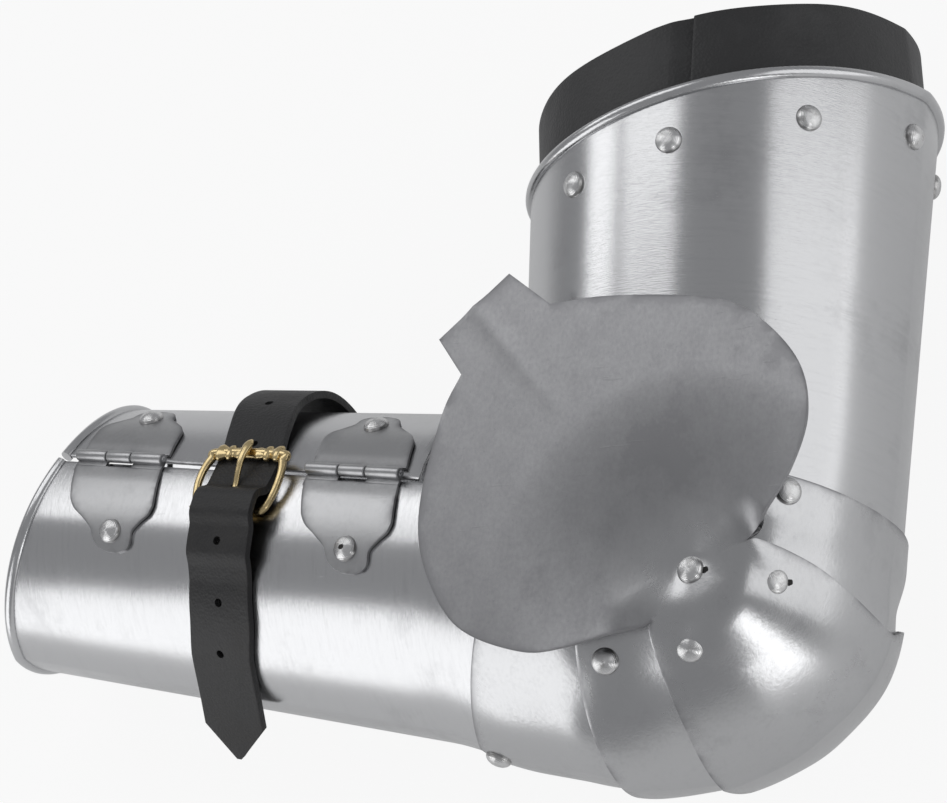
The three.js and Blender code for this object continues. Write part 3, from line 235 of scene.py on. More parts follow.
class ArmFrame:
    """The arm's own frame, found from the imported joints, and the tubes drawn in it."""

    def __init__(self, joints: Sequence[dict], sizes: ArmSizes) -> None:
        """Finds the frame.

        Args:
            joints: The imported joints, with the elbow's and the forearm's places and axes.
            sizes: The arm's sizes, for where those joints are in the arm's frame.
        """
        by_name = {joint["name"]: joint for joint in joints}
        pivot = Vector(by_name["elbow_bend"]["pos_m"])
        plate = Vector(by_name["forearm_tilt"]["pos_m"])
        side = Vector(by_name["elbow_bend"]["axis"]).normalized()
        local = Vector(sizes.plate_pivot) - Vector(sizes.elbow_pivot)
        seen = plate - pivot
        seen -= side * seen.dot(side)
        back = (seen * local.x + seen.cross(side) * local.y).normalized()
        up = side.cross(back)
        turn = Matrix((back, up, side)).transposed()
        place = pivot - turn @ Vector((*sizes.elbow_pivot, 0)) * MM
        self.sizes = sizes
        self.matrix = Matrix.Translation(place) @ turn.to_4x4() @ Matrix.Scale(MM, 4)
        self.turn = turn

    def to_row(self, points: Array) -> Array:
        """Points of the arm's frame in the row frame, in metres."""
        rows = np.array(self.matrix)
        return np.asarray(points) @ rows[:3, :3].T + rows[:3, 3]

    def from_row(self, points: Array) -> Array:
        """Points of the row frame in the arm's frame, in millimetres."""
        rows = np.array(self.matrix.inverted())
        return np.asarray(points) @ rows[:3, :3].T + rows[:3, 3]

    @property
    def forearm_back(self) -> Array:
        """Direction across the forearm, towards its crease."""
        rise = math.radians(self.sizes.forearm_rise)
        return np.array([-math.sin(rise), -math.cos(rise), 0])

    @staticmethod
    def creased(angle: Array, reach: Array, side: Array, crease: Array) -> tuple:
        """Section with a crease.

        Args:
            angle: Angle in the section, from 0 to pi.
            reach: Distance out to the crease.
            side: Height to the side at both ends.
            crease: Its bluntness in radians, a quarter turn for no crease.

        Returns:
            Distance out, and height to the side.
        """
        inner = angle > QUARTER
        s = np.where(inner, math.pi - angle, angle) / QUARTER * crease
        up = side * (np.cos(s) - np.cos(crease)) / (1 - np.cos(crease))
        return reach * np.sin(s) / np.sin(crease), np.where(inner, -up, up)

    def tube_section(self, angle: Array, front: Array, back: Array, side: Array) -> tuple:
        """Whole round of a tube, creased behind and plain in front.

        Args:
            angle: Angle round the tube, 0 at its outer side and a quarter turn behind.
            front: Distance to its front.
            back: Distance to its crease.
            side: Distance to its sides.

        Returns:
            Distance out, and height to the side.
        """
        turn = np.mod(angle, 2 * math.pi)
        behind = self.creased(np.minimum(turn, math.pi), back, side, math.radians(self.sizes.crease))
        before = (front * np.sin(turn), side * np.cos(turn))
        return tuple(np.where(turn <= math.pi, b, f) for b, f in zip(behind, before))

    def upper_arm(self, angle: Array, y: Array, offset: float = 0) -> Array:
        """Point of the upper arm tube.

        Args:
            angle: Angle round the tube.
            y: Height over the elbow centre.
            offset: Distance out from the tube.

        Returns:
            The point.
        """
        z = self.sizes
        k = y / z.upper_length
        ease = 1 - smoothstep(y, z.draw_from, z.draw_to)
        centre = mix(z.upper_centre, z.elbow_pivot[0], ease)
        shift = centre - z.upper_centre
        front = mix(*z.upper_front, k) + shift + offset
        back = mix(*z.upper_back, k) - shift - ease * z.draw_back + offset
        side = mix(*z.upper_side, k) - ease * z.draw_side + offset
        out, up = self.tube_section(angle, front, back, side)
        return points_at(centre + out, y, up)

    def forearm_point(self, t: Array, out: Array, up: Array, twist: float) -> Array:
        """Point along and across the forearm.

        Args:
            t: Distance along it.
            out: Distance out, towards the crease.
            up: Height to the side.
            twist: Turn of the section, in radians.

        Returns:
            The point.
        """
        rise = math.radians(self.sizes.forearm_rise)
        along = np.array([-math.cos(rise), math.sin(rise), 0])
        across = out * np.cos(twist) - up * np.sin(twist)
        side = out * np.sin(twist) + up * np.cos(twist)
        t, across, side = (np.asarray(v, float)[..., None] for v in np.broadcast_arrays(t, across, side))
        origin = np.array([0, self.sizes.forearm_height, 0])
        return origin + along * t + self.forearm_back * across + np.array([0, 0, 1.0]) * side

    def forearm(self, angle: Array, t: Array, offset: float = 0) -> Array:
        """Point of the forearm tube.

        Args:
            angle: Angle round the tube.
            t: Distance along it.
            offset: Distance out from the tube.

        Returns:
            The point.
        """
        z = self.sizes
        k = t / z.forearm_length
        flare = z.flare * (1 - smoothstep(t, z.flare_from, z.flare_to))
        front = mix(*z.forearm_front, k) + offset
        back = mix(*z.forearm_back, k) + flare + offset
        side = mix(*z.forearm_side, k) + offset
        twist = math.radians(z.forearm_twist)
        out, up = self.tube_section(angle + twist, front, back, side)
        return self.forearm_point(t, out, up, twist)

    def forearm_centre(self, length: float) -> InsideAt:
        """Gives the forearm's centre line as a hollow side.

        Args:
            length: How far it runs.

        Returns:
            A function that gives a point of it for each u.
        """

        def inside(u: Array) -> Array:
            """Point of the centre line."""
            return self.forearm_point(length * u, u * 0, u * 0, 0.0)

        return inside

    def rim_height(self, angle: Array) -> Array:
        """Height of the upper arm tube's slanted rim.

        Args:
            angle: Angle round the tube.

        Returns:
            The height over the elbow centre.
        """
        z = self.sizes
        y = np.full(np.shape(angle), z.upper_length)
        for _ in range(SETTLING_ROUNDS):
            p = self.upper_arm(angle, y)
            y = z.upper_length + z.rim_slope[0] * p[..., 0] + z.rim_slope[1] * p[..., 2]
        return y

    def cuff_distance(self, angle: Array) -> Array:
        """Distance along the forearm of its slanted cuff.

        Args:
            angle: Angle round the tube.

        Returns:
            The distance.
        """
        z = self.sizes
        t = np.full(np.shape(angle), z.cuff_at)
        for _ in range(SETTLING_ROUNDS):
            p = self.forearm(angle, t)
            out = (p - np.array([0, z.forearm_height, 0])) @ self.forearm_back
            t = z.cuff_at + z.cuff_slope[0] * out + z.cuff_slope[1] * p[..., 2]
        return t


# Meshes


def new_object(
    name: str, points: Array, faces: Iterable[Sequence[int]], slots: Sequence[int] = ()
) -> bpy.types.Object:
    """Makes a mesh object from points in the row frame.

    Args:
        name: The piece's name.
        points: Its points, in metres.
        faces: Its faces, as rows of point numbers.
        slots: Each face's material slot, where it has more than one.

    Returns:
        The new object, linked to the scene.
    """
    mesh = bpy.data.meshes.new(name)
    mesh.from_pydata([tuple(p) for p in points], [], [tuple(int(i) for i in f) for f in faces])
    if len(slots):
        mesh.polygons.foreach_set("material_index", np.array(slots, np.int32))
    mesh.update()
    piece = bpy.data.objects.new(name, mesh)
    bpy.context.scene.collection.objects.link(piece)
    return piece


def grid_faces(number: Array) -> list[tuple[int, ...]]:
    """Four-sided faces of a grid of numbered points."""
    corners = (number[:-1, :-1], number[1:, :-1], number[1:, 1:], number[:-1, 1:])
    return list(zip(*(corner.ravel() for corner in corners)))


def set_values(piece: bpy.types.Object, name: str, values: Sequence[float]) -> None:
    """Keeps a number for each point of a mesh, under a name that a tree can read."""
    piece.data.attributes.new(name, "FLOAT", "POINT").data.foreach_set("value", values)


def set_look(piece: bpy.types.Object, number: int) -> None:
    """Puts every face of a mesh in one material slot."""
    for polygon in piece.data.polygons:
        polygon.material_index = number


def face_outwards(piece: bpy.types.Object, merge: float = 1e-7, centre: Vector | None = None) -> None:
    """Merges a mesh's doubles and turns its faces outwards.

    Args:
        piece: The mesh, closed where no centre is given.
        merge: Distance up to which two points are one, in metres.
        centre: A point on the hollow side of an open sheet.
    """
    work = bmesh.new()
    work.from_mesh(piece.data)
    bmesh.ops.remove_doubles(work, verts=work.verts, dist=merge)
    bmesh.ops.recalc_face_normals(work, faces=work.faces)
    if centre is not None:
        facing = 0
        for face in work.faces:
            facing += face.normal.dot((face.calc_center_median() - centre).normalized()) * face.calc_area()
        if facing < 0:
            bmesh.ops.reverse_faces(work, faces=work.faces)
    work.to_mesh(piece.data)
    work.free()


def apply_modifiers(piece: bpy.types.Object) -> None:
    """Turns a piece's modifiers into plain mesh.

    Args:
        piece: The piece.
    """
    bpy.context.view_layer.update()
    graph = bpy.context.evaluated_depsgraph_get()
    baked = bpy.data.meshes.new_from_object(piece.evaluated_get(graph))
    piece.modifiers.clear()
    piece.data = baked


def finish_edges(piece: bpy.types.Object, width: float, smooth_up_to: float = 40) -> None:
    """Rounds a piece's sharp edges and shades it smooth.

    Args:
        piece: A closed mesh.
        width: Width of the rounding, in millimetres, or 0 for none.
        smooth_up_to: Edges sharper than this many degrees stay sharp.
    """
    if width:
        bevel = piece.modifiers.new("edges", "BEVEL")
        bevel.width = width * MM
        bevel.segments = BEVEL_STEPS
        bevel.limit_method = "ANGLE"
        bevel.angle_limit = math.radians(BEVEL_ANGLE)
        bevel.use_clamp_overlap = True
        apply_modifiers(piece)
    piece.data.shade_smooth()
    piece.data.set_sharp_from_angle(angle=math.radians(smooth_up_to))


def join_pieces(name: str, pieces: Sequence[bpy.types.Object]) -> bpy.types.Object:
    """Joins closed meshes that belong to one piece.

    Args:
        name: The joined piece's name.
        pieces: Meshes in the row frame, with the same material slots.

    Returns:
        The joined object.
    """
    points: list[Array] = []
    faces: list[list[int]] = []
    slots: list[int] = []
    dirt_and_edge_shades: list[Array] = []
    start = 0
    for piece in pieces:
        soil = np.zeros(len(piece.data.vertices), np.float32)
        if DIRT_AND_EDGE_SHADE in piece.data.attributes:
            piece.data.attributes[DIRT_AND_EDGE_SHADE].data.foreach_get("value", soil)
        dirt_and_edge_shades.append(soil)
        co = np.empty(len(piece.data.vertices) * 3)
        piece.data.vertices.foreach_get("co", co)
        points.append(co.reshape(-1, 3))
        for polygon in piece.data.polygons:
            faces.append([start + i for i in polygon.vertices])
            slots.append(polygon.material_index)
        start += len(piece.data.vertices)
        bpy.data.objects.remove(piece)
    whole = new_object(name, np.vstack(points), faces, slots)
    set_values(whole, DIRT_AND_EDGE_SHADE, np.concatenate(dirt_and_edge_shades))
    return whole


class SheetMaker:
    """Builds bent sheets and bars in the arm's frame."""

    def __init__(self, arm: ArmFrame) -> None:
        """Keeps the frame that the sheets are drawn in."""
        self.arm = arm

    @staticmethod
    def normals(surface: SurfaceAt, u: Array, v: Array, inside: Array, wrap: bool) -> Array:
        """Outward directions of a surface on a grid.

        Args:
            surface: The surface.
            u: The grid's places along u.
            v: The grid's places along v.
            inside: A point on the hollow side for each place.
            wrap: Whether the surface closes on itself along v.

        Returns:
            A direction of length one for each place.
        """
        step = 1e-3
        along = surface(np.minimum(u + step, 1), v) - surface(np.maximum(u - step, 0), v)
        if wrap:
            across = surface(u, np.mod(v + step, 1)) - surface(u, np.mod(v - step, 1))
        else:
            across = surface(u, np.minimum(v + step, 1)) - surface(u, np.maximum(v - step, 0))
        normal = np.cross(along, across)
        normal /= np.maximum(np.linalg.norm(normal, axis=-1, keepdims=True), 1e-12)
        inward = np.sum(normal * (surface(u, v) - inside), -1, keepdims=True) < 0
        return np.where(inward, -normal, normal)

    def sheet(
        self,
        name: str,
        surface: SurfaceAt,
        rows: Sequence[float],
        columns: Sequence[float],
        inside: InsideAt,
        thickness: float | SurfaceAt,
        wrap: bool = False,
    ) -> bpy.types.Object:
        """Makes a closed bent sheet.

        Args:
            name: The piece's name.
            surface: Its outer face, for u and v from 0 to 1.
            rows: Places along u.
            columns: Places along v, without the last one where the sheet wraps.
            inside: A point on its hollow side for each u.
            thickness: Its thickness, or a function that gives it.
            wrap: Whether it closes on itself along v.

        Returns:
            The piece, with its cut edges in material slot 1.
        """
        u, v = np.meshgrid(rows, columns, indexing="ij")
        normal = self.normals(surface, u, v, inside(u), wrap)
        depth = thickness(u, v)[..., None] if callable(thickness) else thickness
        outer = surface(u, v)
        inner = outer - normal * depth
        number = np.arange(u.size).reshape(u.shape)
        if wrap:
            number = np.hstack([number, number[:, :1]])
        faces: list[Sequence[int]] = grid_faces(number)
        faces += [(face[0], *face[:0:-1]) for face in grid_faces(number + u.size)]
        slots = [0] * len(faces)
        edges = [number[0], number[-1][::-1]]
        if not wrap:
            edges += [number[::-1, 0], number[:, -1]]
        for edge in edges:
            faces.extend(zip(edge[:-1], edge[1:], edge[1:] + u.size, edge[:-1] + u.size))
        slots += [1] * (len(faces) - len(slots))
        points = np.vstack([outer.reshape(-1, 3), inner.reshape(-1, 3)])
        piece = new_object(name, self.arm.to_row(points), faces, slots)
        # Dirt and painted shade along the sheet's cut edges
        near = self.nearness(outer, wrap)
        set_values(piece, DIRT_AND_EDGE_SHADE, np.concatenate([near, near]))
        face_outwards(piece)
        return piece

    @staticmethod
    def nearness(grid: Array, wrap: bool) -> Array:
        """How near the points of a sheet are to its edge.

        Args:
            grid: The sheet's points.
            wrap: Whether it closes on itself along v.

        Returns:
            For each point, 1 at the edge, fading over a few millimetres.
        """
        away = np.full(grid.shape[:2], np.inf)
        for axis in (0,) if wrap else (0, 1):
            steps = np.linalg.norm(np.diff(grid, axis=axis), axis=-1)
            zero = np.zeros_like(np.take(steps, [0], axis=axis))
            run = np.concatenate([zero, np.cumsum(steps, axis=axis)], axis=axis)
            away = np.minimum(away, np.minimum(run, np.take(run, [-1], axis=axis) - run))
        return np.exp(-away / EDGE_DARKENING_REACH).ravel()

    def bar(
        self,
        name: str,
        line: Array,
        radius: float | Sequence[float],
        sides: int,
        closed: bool,
        stretch: tuple[Array, float] | None = None,
    ) -> bpy.types.Object:
        """Makes a round bar along a line.

        Args:
            name: The piece's name.
            line: Points of its centre line, in the arm's frame.
            radius: Its radius, or one for each point.
            sides: Faces round it.
            closed: Whether the line closes on itself.
            stretch: A direction and how much wider the bar is along it.

        Returns:
            The piece.
        """
        count = len(line)
        radii = np.broadcast_to(radius, count)
        across = np.array([0, 0, 1.0])
        rings = []
        for i in range(count):
            before = line[(i - 1) % count] if closed else line[max(i - 1, 0)]
            after = line[(i + 1) % count] if closed else line[min(i + 1, count - 1)]
            along = (after - before) / np.linalg.norm(after - before)
            second = np.cross(along, across)
            second /= np.linalg.norm(second)
            across = np.cross(second, along)
            turn = np.linspace(0, 2 * math.pi, sides, endpoint=False)[:, None]
            ring = radii[i] * (across * np.cos(turn) + second * np.sin(turn))
            if stretch:
                ring = ring + np.outer(ring @ stretch[0], stretch[0]) * (stretch[1] - 1)
            rings.append(line[i] + ring)
        number = np.arange(count * sides).reshape(count, sides)
        number = np.hstack([number, number[:, :1]])
        if closed:
            number = np.vstack([number, number[:1]])
        faces: list[Sequence[int]] = grid_faces(number)
        if not closed:
            faces += [tuple(number[0, :-1]), tuple(number[-1, :-1][::-1])]
        piece = new_object(name, self.arm.to_row(np.vstack(rings)), faces)
        face_outwards(piece)
        return piece


# Shaders


class Field:
    """A number or a vector that varies over a surface, with arithmetic."""

    def __init__(self, graph: "Graph", socket: bpy.types.NodeSocket) -> None:
        """Keeps the shader socket that gives the value."""
        self.graph = graph
        self.socket = socket

    def _maths(self, operation: str, first: "Field | float", second: "Field | float") -> "Field":
        """A Math node's result."""
        return self.graph.node("ShaderNodeMath", {"operation": operation}, {0: first, 1: second})

    def __add__(self, other: "Field | float") -> "Field":
        """This plus another."""
        return self._maths("ADD", self, other)

    def __radd__(self, other: float) -> "Field":
        """A number plus this."""
        return self._maths("ADD", other, self)

    def __sub__(self, other: "Field | float") -> "Field":
        """This less another."""
        return self._maths("SUBTRACT", self, other)

    def __rsub__(self, other: float) -> "Field":
        """A number less this."""
        return self._maths("SUBTRACT", other, self)

    def __mul__(self, other: "Field | float") -> "Field":
        """This times another."""
        return self._maths("MULTIPLY", self, other)

    def __rmul__(self, other: float) -> "Field":
        """A number times this."""
        return self._maths("MULTIPLY", other, self)

    def between(self, low: float, high: float) -> "Field":
        """Smooth share from 0 at low to 1 at high."""
        inputs = {"Value": self, "From Min": low, "From Max": high}
        return self.graph.node("ShaderNodeMapRange", {"interpolation_type": "SMOOTHSTEP"}, inputs)


class Graph:
    """A node tree, built node by node."""

    def __init__(self, holder: bpy.types.ID) -> None:
        """Starts on a tree.

        Args:
            holder: A material or a world, whose tree is emptied first, or a bare tree.
        """
        self.holder = holder
        self.tree = holder
        if not isinstance(holder, bpy.types.NodeTree):
            holder.use_nodes = True
            self.tree = holder.node_tree
            self.tree.nodes.clear()

    @cached_property
    def place(self) -> Field:
        """Place on the object, in metres."""
        return self.node("ShaderNodeTexCoord", {}, {}, "Object")

    def node(self, kind: str, settings: dict, inputs: dict, output: int | str = 0) -> Field:
        """Adds a node.

        Args:
            kind: The node's type.
            settings: Its own settings, put on before its inputs.
            inputs: Values or fields, by the input's name or number.
            output: The output that is wanted.

        Returns:
            That output.
        """
        made = self.tree.nodes.new(kind)
        for key, value in settings.items():
            setattr(made, key, value)
        for key, value in inputs.items():
            if isinstance(value, Field):
                self.tree.links.new(value.socket, made.inputs[key])
            else:
                made.inputs[key].default_value = value
        return Field(self, made.outputs[output])

    def blend(self, share: Field, first: "Field | tuple", second: "Field | tuple") -> Field:
        """Colour between two others."""
        settings = {"data_type": "RGBA", "clamp_factor": True}
        return self.node("ShaderNodeMix", settings, {0: share, 6: first, 7: second}, 2)

    def along(self, direction: Sequence[float]) -> Field:
        """Distance along a direction of the row frame, in metres."""
        inputs = {0: self.place, 1: tuple(direction)}
        return self.node("ShaderNodeVectorMath", {"operation": "DOT_PRODUCT"}, inputs, "Value")

    def stretched(self, directions: Sequence[Sequence[float]], scales: Sequence[float]) -> Field:
        """Place on the surface, measured along three directions at three scales."""
        parts = {i: self.along(d) * s for i, (d, s) in enumerate(zip(directions, scales))}
        return self.node("ShaderNodeCombineXYZ", {}, parts)

    def noise(self, scale: float, detail: float = 3, at: Field | None = None, rough: float = 0.55) -> Field:
        """Cloudy noise from 0 to 1."""
        inputs = {"Vector": at or self.place, "Scale": scale, "Detail": detail, "Roughness": rough}
        return self.node("ShaderNodeTexNoise", {"noise_dimensions": "3D"}, inputs)

    def cells(self, scale: float) -> Field:
        """Distance to the nearest of many scattered points."""
        return self.node("ShaderNodeTexVoronoi", {}, {"Vector": self.place, "Scale": scale}, "Distance")

    def kept(self, name: str) -> Field:
        """A number that the mesh keeps for each point."""
        return self.node("ShaderNodeAttribute", {"attribute_name": name}, {}, "Fac")

    def ray(self, kind: str) -> Field:
        """1 where the ray is of a kind, such as Is Camera Ray."""
        return self.node("ShaderNodeLightPath", {}, {}, kind)

    def bump(self, height: Field, depth: float, under: Field | None = None) -> Field:
        """Small relief.

        Args:
            height: How high the surface stands, from 0 to 1.
            depth: The height's full measure, in metres.
            under: Relief that lies under it.

        Returns:
            The relief's directions.
        """
        inputs = {"Strength": 1.0, "Distance": depth, "Height": height}
        if under:
            inputs["Normal"] = under
        return self.node("ShaderNodeBump", {}, inputs)

    def surface(self, **inputs: "Field | float | tuple") -> bpy.types.Material:
        """Ends a material's shader.

        Args:
            inputs: The surface's inputs, by name, with a low line for a space.

        Returns:
            The material.
        """
        named = {key.replace("_", " "): value for key, value in inputs.items()}
        self.end("ShaderNodeOutputMaterial", self.node("ShaderNodeBsdfPrincipled", {}, named))
        return self.holder

    def end(self, kind: str, result: Field) -> None:
        """Sends a result to the tree's output node."""
        self.tree.links.new(result.socket, self.tree.nodes.new(kind).inputs[0])


def shader(name: str) -> Graph:
    """Starts a new material's shader."""
    return Graph(bpy.data.materials.new(name))


class Grain(Enum):
    """Direction in which a steel piece was brushed."""

    ROUND_UPPER_ARM = (1.0, 14.0, 1.0)
    ROUND_FOREARM = (14.0, 1.0, 1.0)
    ALONG_UPPER_ARM = (9.0, 0.8, 9.0)
    LOOSE = (3.0, 2.0, 3.0)


@dataclass(frozen=True)
class SteelFinish:
    """Brushed sheet steel with stains and fine scratches, dirt and painted shade along its edges, and a
    rougher satin whose darker colour is painted shade.
    """

    name: str
    grain: Grain
    tone: float = 0.57
    stain: float = 0.4
    roughness: float = 0.20
    uneven: float = 0.10
    wave: float = 0.0009
    streak: float = 0.000012

    def build(self, arm: ArmFrame) -> bpy.types.Material:
        """Builds the material.

        Args:
            arm: The arm's frame, which the brushing follows.

        Returns:
            The material.
        """
        g = shader(self.name)
        axes = [tuple(column) for column in np.array(arm.turn).T]
        fine = g.noise(260, 2, g.stretched(axes, self.grain.value))
        broad = g.noise(46, 3, g.stretched(axes, self.grain.value))
        clouds = g.noise(16, 4)
        specks = g.noise(900, 2).between(0.66, 0.8)
        scratch_at = g.stretched(axes, (0.6, 7.0, 5.0))
        scratches = g.noise(120, 1, scratch_at).between(0.70, 0.74) * g.noise(38, 2).between(0.5, 0.7)
        stains = g.noise(28, 5, rough=0.65).between(0.52, 0.78)
        # The wing's satin: rougher, and a darker colour that is painted shade
        satin = g.kept(SATIN_AND_SHADE)
        # Darkens the colour near cut edges: dirt, and painted shade for the dark lines along rims, grooves
        # and overlaps
        soil = g.kept(DIRT_AND_EDGE_SHADE) * g.noise(70, 4).between(0.35, 0.6) * 1.1
        share = stains * self.stain + specks * 0.25 + (broad - 0.5) * 0.35 + (fine - 0.5) * 0.3
        # Both darken the colour: the edge dirt with its painted shade, and the satin's painted shade
        share = share + soil + satin * 0.85
        pale = (self.tone * 1.03, self.tone * 1.035, self.tone * 1.05, 1)
        dark = (self.tone * 0.60, self.tone * 0.60, self.tone * 0.62, 1)
        colour = g.blend(share, pale, dark)
        uneven = (fine + clouds - 1.0) * self.uneven
        rough = self.roughness + uneven + stains * 0.06 + scratches * 0.04 + soil * 0.2 + satin * 0.2
        waves = g.bump(g.noise(11, 1), self.wave)
        lines = g.bump(fine + scratches * 0.4, self.streak * 3, waves)
        return g.surface(Base_Color=colour, Metallic=1.0, Roughness=rough, Normal=lines)


@dataclass(frozen=True)
class RivetFinish:
    """Bright domed rivets with faint turning marks and dirt, darker towards the rim of the head."""

    name: str = "rivet_bright"
    tone: float = 0.72

    def build(self) -> bpy.types.Material:
        """Builds the finish.

        Returns:
            The material.
        """
        g = shader(self.name)
        radius = g.kept("from_middle")
        rings = g.node("ShaderNodeMath", {"operation": "SINE"}, {0: radius * 70})
        dirt = g.noise(420, 4).between(0.5, 0.75)
        # Darker towards the rim of the head
        rim_darkening = radius.between(0.86, 1.02)
        share = dirt * 0.4 + rim_darkening * 0.45
        colour = g.blend(share, (self.tone, self.tone, self.tone, 1), (0.2, 0.19, 0.18, 1))
        marks = g.bump(rings + g.noise(700, 2) * 1.2, 0.00002)
        return g.surface(Base_Color=colour, Metallic=1.0, Roughness=0.24 + share * 0.25, Normal=marks)


@dataclass(frozen=True)
class BrassFinish:
    """Cast brass, worn bright on its ridges."""

    name: str = "buckle_cast_brass"

    def build(self) -> bpy.types.Material:
        """Builds the finish.

        Returns:
            The material.
        """
        g = shader(self.name)
        hollow = g.node("ShaderNodeNewGeometry", {}, {}, "Pointiness").between(0.44, 0.52)
        tarnish = g.noise(300, 4).between(0.45, 0.75)
        share = (1 - hollow) * 0.6 + tarnish * 0.35
        colour = g.blend(share, (0.72, 0.57, 0.31, 1), (0.26, 0.18, 0.07, 1))
        relief = g.bump(g.noise(500, 3), 0.00005)
        return g.surface(Base_Color=colour, Metallic=1.0, Roughness=0.22 + share * 0.3, Normal=relief)


@dataclass(frozen=True)
class LeatherFinish:
    """Dyed leather with grain, creases and rubbed patches."""

    name: str
    dye: Triple
    rubbed: Triple
    roughness: float = 0.5
    grain_scale: float = 900

    def build(self) -> bpy.types.Material:
        """Builds the finish.

        Returns:
            The material.
        """
        g = shader(self.name)
        grain = g.cells(self.grain_scale)
        fine = g.noise(1600, 3)
        wear = g.noise(45, 5, rough=0.6).between(0.42, 0.75)
        colour = g.blend(wear * 0.55 + (fine - 0.5) * 0.4, (*self.dye, 1), (*self.rubbed, 1))
        relief = g.bump(g.noise(60, 3), 0.0006)
        pores = g.bump(grain + fine * 0.5, 0.00012, relief)
        rough = self.roughness + (fine - 0.5) * 0.15 + wear * 0.1
        return g.surface(Base_Color=colour, Roughness=rough, Normal=pores)


@dataclass(frozen=True)
class CutEdgeFinish:
    """Bare brown fibre on the leather's cut edges."""

    name: str = "leather_cut_edge"

    def build(self) -> bpy.types.Material:
        """Builds the finish.

        Returns:
            The material.
        """
        g = shader(self.name)
        fibre = g.noise(900, 4, rough=0.7)
        colour = g.blend(fibre.between(0.3, 0.7), (0.05, 0.022, 0.013, 1), (0.19, 0.078, 0.042, 1))
        return g.surface(Base_Color=colour, Roughness=0.85, Normal=g.bump(fibre, 0.0003))


@dataclass(frozen=True)
class PaintedHoleShadeFinish:
    """Near-black painted shade for the inside of a small hole."""

    name: str = "dark_hole"

    def build(self) -> bpy.types.Material:
        """Builds the finish.

        Returns:
            The material.
        """
        g = shader(self.name)
        rough = 0.7 + (g.noise(500) - 0.5) * 0.3
        return g.surface(Base_Color=(0.012, 0.011, 0.010, 1), Roughness=rough)


class Finishes:
    """Every material of the armour."""

    def __init__(self, arm: ArmFrame) -> None:
        """Builds them all.

        Args:
            arm: The arm's frame.
        """
        loose = Grain.LOOSE
        self.upper_arm = SteelFinish("steel_upper_arm", Grain.ROUND_UPPER_ARM).build(arm)
        self.forearm = SteelFinish("steel_forearm", Grain.ROUND_FOREARM, tone=0.6).build(arm)
        self.cop = SteelFinish("steel_cop", loose, tone=0.52, roughness=0.24).build(arm)
        self.lames = SteelFinish("steel_lames", loose, tone=0.54, roughness=0.24).build(arm)
        self.hinge = SteelFinish("steel_hinge", loose, tone=0.46, roughness=0.34, wave=0.0004).build(arm)
        self.rim = SteelFinish("steel_rim", loose, tone=0.62, roughness=0.22, wave=0.0003).build(arm)
        # Near-black cut edges on the forearm's shells: painted shade for the dark gap along the seam
        self.seam = SteelFinish("steel_seam_edge", loose, tone=0.2, roughness=0.5, wave=0.0003).build(arm)
        self.rivets = RivetFinish().build()
        self.brass = BrassFinish().build()
        black, worn = (0.030, 0.030, 0.031), (0.060, 0.060, 0.062)
        self.band = LeatherFinish("band_black_leather", black, worn).build()
        black, worn = (0.018, 0.018, 0.019), (0.040, 0.038, 0.037)
        self.strap = LeatherFinish("strap_black_leather", black, worn).build()
        self.cut_edge = CutEdgeFinish().build()
        # Painted shade for the holes beside two cop rivets and for a hinge rivet's dimple
        self.hole = PaintedHoleShadeFinish().build()


def dress(
    piece: bpy.types.Object, body: str, slot: str, nodes: Sequence[str], *looks: bpy.types.Material
) -> None:
    """Gives a piece its materials and its place in the frame.

    Args:
        piece: The finished mesh.
        body: The body that it rides on.
        slot: Its material slot in the record; not used.
        nodes: CAD nodes that it stands for.
        looks: Materials, in the order of its material slots.
    """
    piece.data.materials.clear()
    for look in looks:
        piece.data.materials.append(look)
    if nodes:
        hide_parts(*nodes)
    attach(piece, body)
    LOG.info("%s: %d faces on %s", piece.name, len(piece.data.polygons), body)


class SubAssembly:
    """What every sub-assembly holds."""

    def __init__(self, arm: ArmFrame, looks: Finishes) -> None:
        """Keeps what it is given.

        Args:
            arm: The arm's frame.
            looks: The finishes.
        """
        self.arm = arm
        self.looks = looks
        self.maker = SheetMaker(arm)


# Upper arm


@dataclass(frozen=True)
class RerebraceSizes:
    """The upper arm tube: its lower edge, in millimetres and degrees from the side, and its grid."""

    ear_drop: float = 7.6
    behind: float = 38.5
    flank: float = 88.0
    front: float = 132.0
    ear_turn: float = 11.0
    back_turn: float = 21.0
    flank_turn: float = 44.0
    front_turn: float = 72.0
    rows: int = 70
    columns: int = 320
    crowding: float = 1.3
    bunching: float = 0.21
    bead_sides: int = 20
    bead_steps: int = 360


